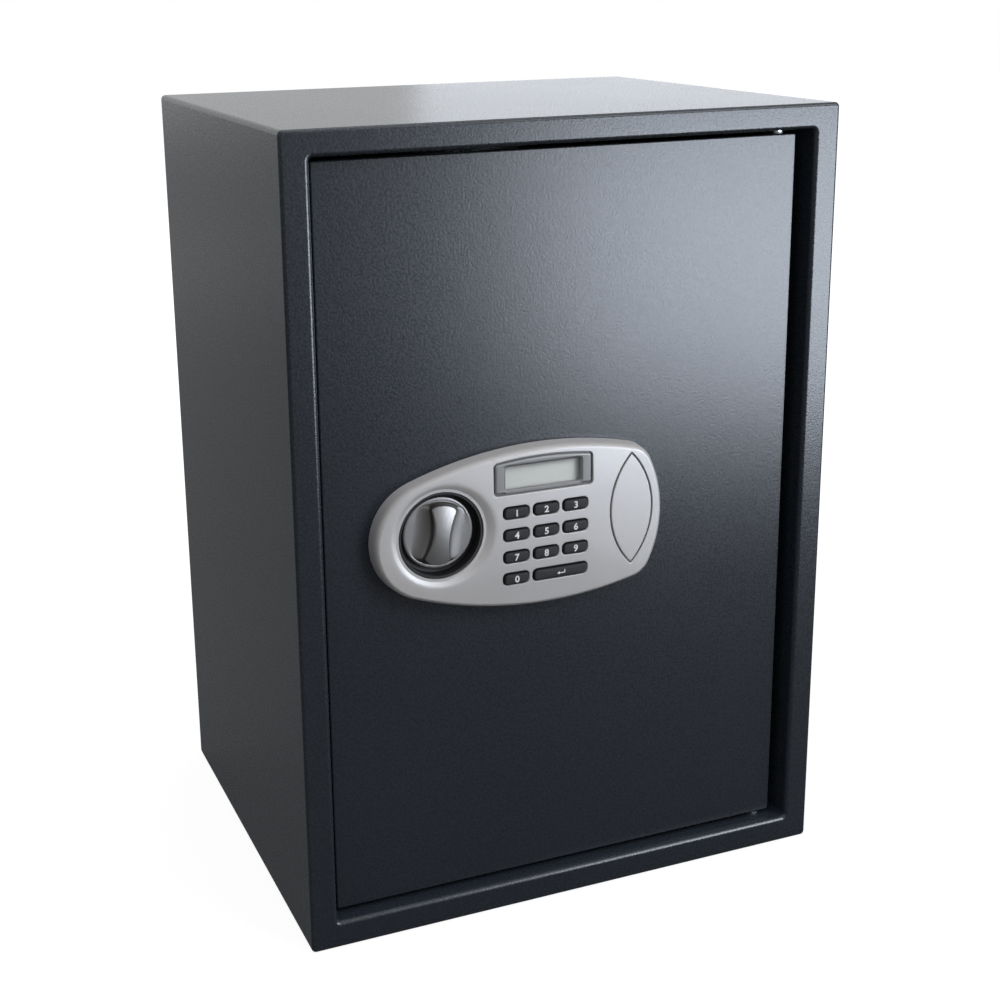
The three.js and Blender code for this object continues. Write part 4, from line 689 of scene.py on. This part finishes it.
disc_face, disc_back, disc_radius, disc_flat = 5.0, 2.8, 22.5, 20.9
hub_radius, hub_bore, hub_back, bore_depth = 7.0, 3.8, 0.6, 4.6
disc_profile = ((hub_bore, -hub_back), (hub_radius, -hub_back), (hub_radius, -disc_back),
                (disc_radius - 0.6, -disc_back), (disc_radius, -disc_back - 0.5), (disc_radius, -4.2),
                (disc_radius - 0.1, -4.6), (disc_radius - 0.4, -4.9), (disc_radius - 0.9, -5.05),
                (disc_flat, -5.1))
knob_rings = [knob_ring(unit * hub_bore, -bore_depth)]
knob_rings += [knob_ring(unit * radius, depth) for radius, depth in disc_profile]
scoop_width, scoop_height, scoop_limit, scoop_fall = 10.5, 5.2, 20.3, 0.95
wall_grow, crest_grow, wall_foot = 0.5, 0.2, 10.4
crest, crest_round, fall_along, fall_across = 12.4, 1.3, 2.0, 0.9


def scoop_outline(grow):
    """The grip's outline moved out by grow, its reach r eased to r / (1 + (e * r / limit) ** 8) ** (1 / 8)
    to stay on the disc, where e = grow / (grow + 0.3)."""
    flat = grip_outline(grow)
    reach = np.hypot(*flat.T)[:, None]
    return flat / (1 + (reach / scoop_limit * grow / (grow + 0.3)) ** 8) ** 0.125


def crest_ring(flat, depth, share=1.0):
    """A ring that falls off with the square of the way along the grip, and of the way across it."""
    along = flat[:, 1] / grip_half_length
    across = np.minimum(np.abs(flat[:, 0]) / grip_end, 1)
    return knob_ring(flat, -(depth - share * (fall_along * along ** 2 + fall_across * across ** 2)))


foot = scoop_outline(wall_grow + scoop_width)
knob_rings += [knob_ring(unit * disc_flat * (1 - s) + foot * s, -disc_face - 0.1 * (1 - s))
               for s in (0.3, 0.6, 0.9)]
knob_rings += [crest_ring(scoop_outline(wall_grow + scoop_width * (1 - math.sin(a))),
                          disc_face + scoop_height * (1 - math.cos(a)), scoop_fall * (1 - math.cos(a)))
               for a in np.linspace(0.08, 1.45, 18)]
knob_rings += [crest_ring(grip_outline(wall_grow + (crest_grow - wall_grow) * s),
                          wall_foot + (crest - crest_round - wall_foot) * s) for s in np.linspace(0.5, 1, 3)]
knob_rings += [crest_ring(grip_outline(crest_grow - crest_round * (1 - math.cos(a))),
                          crest - crest_round * (1 - math.sin(a))) for a in np.linspace(0.15, np.pi / 2, 9)]
top_outline = grip_outline(crest_grow - crest_round)
knob_rings += [crest_ring(top_outline * s, crest) for s in np.linspace(0.9, 0.1, 9)]
knob = skin("knob_body", on_panel(knob_rings), knob_lacquer)
finish_piece(knob, "knob", "knob_silver", "knob", crease=40)

# Display: a satin bezel clipped in from behind, a clear pane and the module on the board. The
# bezel's edge bends down to a narrow dark gap, and its window has a bevel all round.
bezel_grey = moulded("bezel_grey", (0.16, 0.165, 0.175), (0.22, 0.225, 0.235), 0.34, 2600, 0.00003)
window_half, window_radius = np.array([49.5, 14.3]) / 2, 1.2
flange_back, flange_front = -9.1, -10.1
bezel_flange, bezel_inset, bezel_front = 0.9, -1.0, 12.0
bezel_round, bezel_drop = 1.3, 1.0


def window_outline(grow):
    """The rounded rectangle of the display's window, moved out by grow."""
    centre = np.array(display_centre)
    return rounded_rectangle(centre - window_half - grow, centre + window_half + grow,
                             window_radius + grow, 8, 16)


bezel_rings = [ring_at(display_outline(bezel_flange), flange_back),
               ring_at(display_outline(bezel_flange), flange_front),
               ring_at(display_outline(bezel_inset), flange_front)]
bezel_rings += [ring_at(display_outline(bezel_inset - bezel_round * (1 - math.cos(a))),
                        -(bezel_front - bezel_drop * (1 - math.sin(a))))
                for a in np.linspace(0, np.pi / 2, 8)]
bezel_rings += [ring_at(window_outline(grow), depth) for grow, depth in (
    (1.6, -bezel_front), (1.3, -bezel_front + 0.15), (0.1, -10.9), (0, -10.7), (0, flange_back))]
bezel = skin("display_frame", on_panel(bezel_rings), bezel_grey, loop=True)
finish_piece(bezel, "door", "bezel_grey", "display_bezel")

pane, pane_shader, pane_flow = principled("clear_pane", Base_Color=(0.9, 0.93, 0.92, 1), IOR=1.5,
                                          Alpha=0.16)
smears = noise(pane_flow, 60, 3, 0.6)
spread(smears, 0.3, 0.7, 0.03, 0.09).into(pane_shader, "Roughness")
dress(pane, "display_window")
lcd, lcd_shader, lcd_flow = principled("reflective_lcd", Coat_Weight=0.3)
lcd_grain = noise(lcd_flow, 3000, 1, 0.5)
lcd_tone = noise(lcd_flow, 25, 2, 0.5)
between(lcd_grain * 0.4 + lcd_tone * 0.6, (0.74, 0.78, 0.77), (0.88, 0.92, 0.9)).into(
    lcd_shader, "Base Color")
spread(lcd_grain, 0.3, 0.7, 0.28, 0.4).into(lcd_shader, "Roughness")
dress(lcd, "lcd_module")

# Keys: silicone caps with printed white digits, one to an opening, on a common mat. The long key
# carries a bent arrow.
key_rubber = moulded("key_rubber", (0.003, 0.003, 0.004), (0.008, 0.008, 0.01), 0.6, 3000, 0.00004,
                    specular=0.22)
print_white, print_shader, print_flow = principled("printed_white", Specular_IOR_Level=0.3)
print_grain = noise(print_flow, 3500, 2, 0.6)
between(print_grain, (0.78, 0.78, 0.78), (0.88, 0.88, 0.88)).into(print_shader, "Base Color")
spread(print_grain, 0.3, 0.7, 0.5, 0.65).into(print_shader, "Roughness")
key_front, key_round, key_crown, key_flange = 13.84, 0.9, 0.16, 1.4
print_gap, digit_size, arrow_size, digit_weight = 0.03, 5.8, 2.0, 0.03


def key_rings(x, z, width):
    """A key's rings: hidden flange, side, rounded edge, and a cap that is crowned a little."""
    rings = [ring_at(key_outline(x, z, width, key_flange), flange_back),
             ring_at(key_outline(x, z, width, key_flange), flange_front),
             ring_at(key_outline(x, z, width, 0), flange_front)]
    rings += [ring_at(key_outline(x, z, width, -key_round * (1 - math.cos(a))),
                      -(key_front - key_round * (1 - math.sin(a)))) for a in np.linspace(0, np.pi / 2, 8)]
    top = key_outline(x, z, width, -key_round)
    rings += [ring_at((top - (x, z)) * s + (x, z), -(key_front + key_crown * (1 - s ** 2)))
              for s in (0.8, 0.5, 0.2)]
    return rings


def printed(flat_object, x, z, size):
    """Turns a flat outline into a thin print over a key's crown."""
    scene.collection.objects.link(flat_object)
    bpy.context.view_layer.update()
    mesh = bpy.data.meshes.new_from_object(flat_object.evaluated_get(bpy.context.evaluated_depsgraph_get()))
    bpy.data.objects.remove(flat_object)
    flat = np.empty(len(mesh.vertices) * 3)
    mesh.vertices.foreach_get("co", flat)
    flat = flat.reshape(-1, 3)
    middle = (flat.min(axis=0) + flat.max(axis=0)) / 2
    flat = (flat - middle) * size
    lift = np.full(len(flat), key_front + key_crown + print_gap)
    points = np.stack([flat[:, 0] + x, -lift, flat[:, 1] + z], axis=1)
    mesh.vertices.foreach_set("co", (on_panel(points) * MM).ravel())
    mesh.materials.clear()
    mesh.materials.append(print_white)
    mesh.update()
    return mesh


def arrow_outline():
    """A bent arrow: a stem that comes down on the right and turns left to a head."""
    curve = bpy.data.curves.new("arrow", "CURVE")
    curve.dimensions = "2D"
    curve.fill_mode = "BOTH"
    corners = ((1.3, 1.0), (1.0, 1.0), (1.0, 0.15), (-0.6, 0.15), (-0.6, 0.55), (-1.4, 0.0), (-0.6, -0.55),
               (-0.6, -0.15), (1.3, -0.15))
    spline = curve.splines.new("POLY")
    spline.points.add(len(corners) - 1)
    spline.points.foreach_set("co", np.array([(x, z, 0, 1) for x, z in corners], dtype=float).ravel())
    spline.use_cyclic_u = True
    return bpy.data.objects.new("arrow", curve)


def digit_outline(text):
    """A flat digit, a little heavier than the plain letter shape."""
    letters = bpy.data.curves.new("digit", "FONT")
    letters.body = text
    letters.resolution_u = 6
    letters.offset = digit_weight
    return bpy.data.objects.new("digit", letters)


for name, x, z, width in keys:
    cap = skin(f"{name}_cap", on_panel(key_rings(x, z, width)), key_rubber)
    finish_piece(cap, name, "key_rubber", name, crease=40)
    digit = name.removeprefix("key_")
    if digit.isdigit():
        legend_mesh = printed(digit_outline(digit), x, z, digit_size)
    else:
        legend_mesh = printed(arrow_outline(), x, z, arrow_size)
    legend = bpy.data.objects.new(f"{name}_print", legend_mesh)
    scene.collection.objects.link(legend)
    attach(legend, name)
dress(key_rubber, "keypad_mat")

# Cover of the emergency lock: a pointed oval clipped flush into its pocket, moulded with the
# housing's own curve and lacquered with it, so only a fine gap shows.
cover_gap, cover_proud, cover_round, cover_back = 0.95, 0.15, 0.55, -9.5


def cover_ring(grow, share, lowered):
    """The cover's outline moved out by grow and drawn in to a share about its middle, at the height of
    the housing's own face there less what it is lowered."""
    flat = (lens_outline(-cover_gap + grow) - (lens_centre, 0)) * share + (lens_centre, 0)
    return ring_at(flat, -(face_at(flat) + cover_proud - lowered))


cover_rings = [ring_at(lens_outline(-cover_gap), cover_back)]
cover_rings += [cover_ring(-cover_round * (1 - math.cos(a)), 1, cover_round * (1 - math.sin(a)))
                for a in np.linspace(0, np.pi / 2, 6)]
cover_rings += [cover_ring(-cover_round, share, 0) for share in np.linspace(0.95, 0.05, 16)]
cover = skin("lock_cover", on_panel(cover_rings), silver)
finish_piece(cover, "override_cover", "silver_plastic", "override_cover", crease=40)
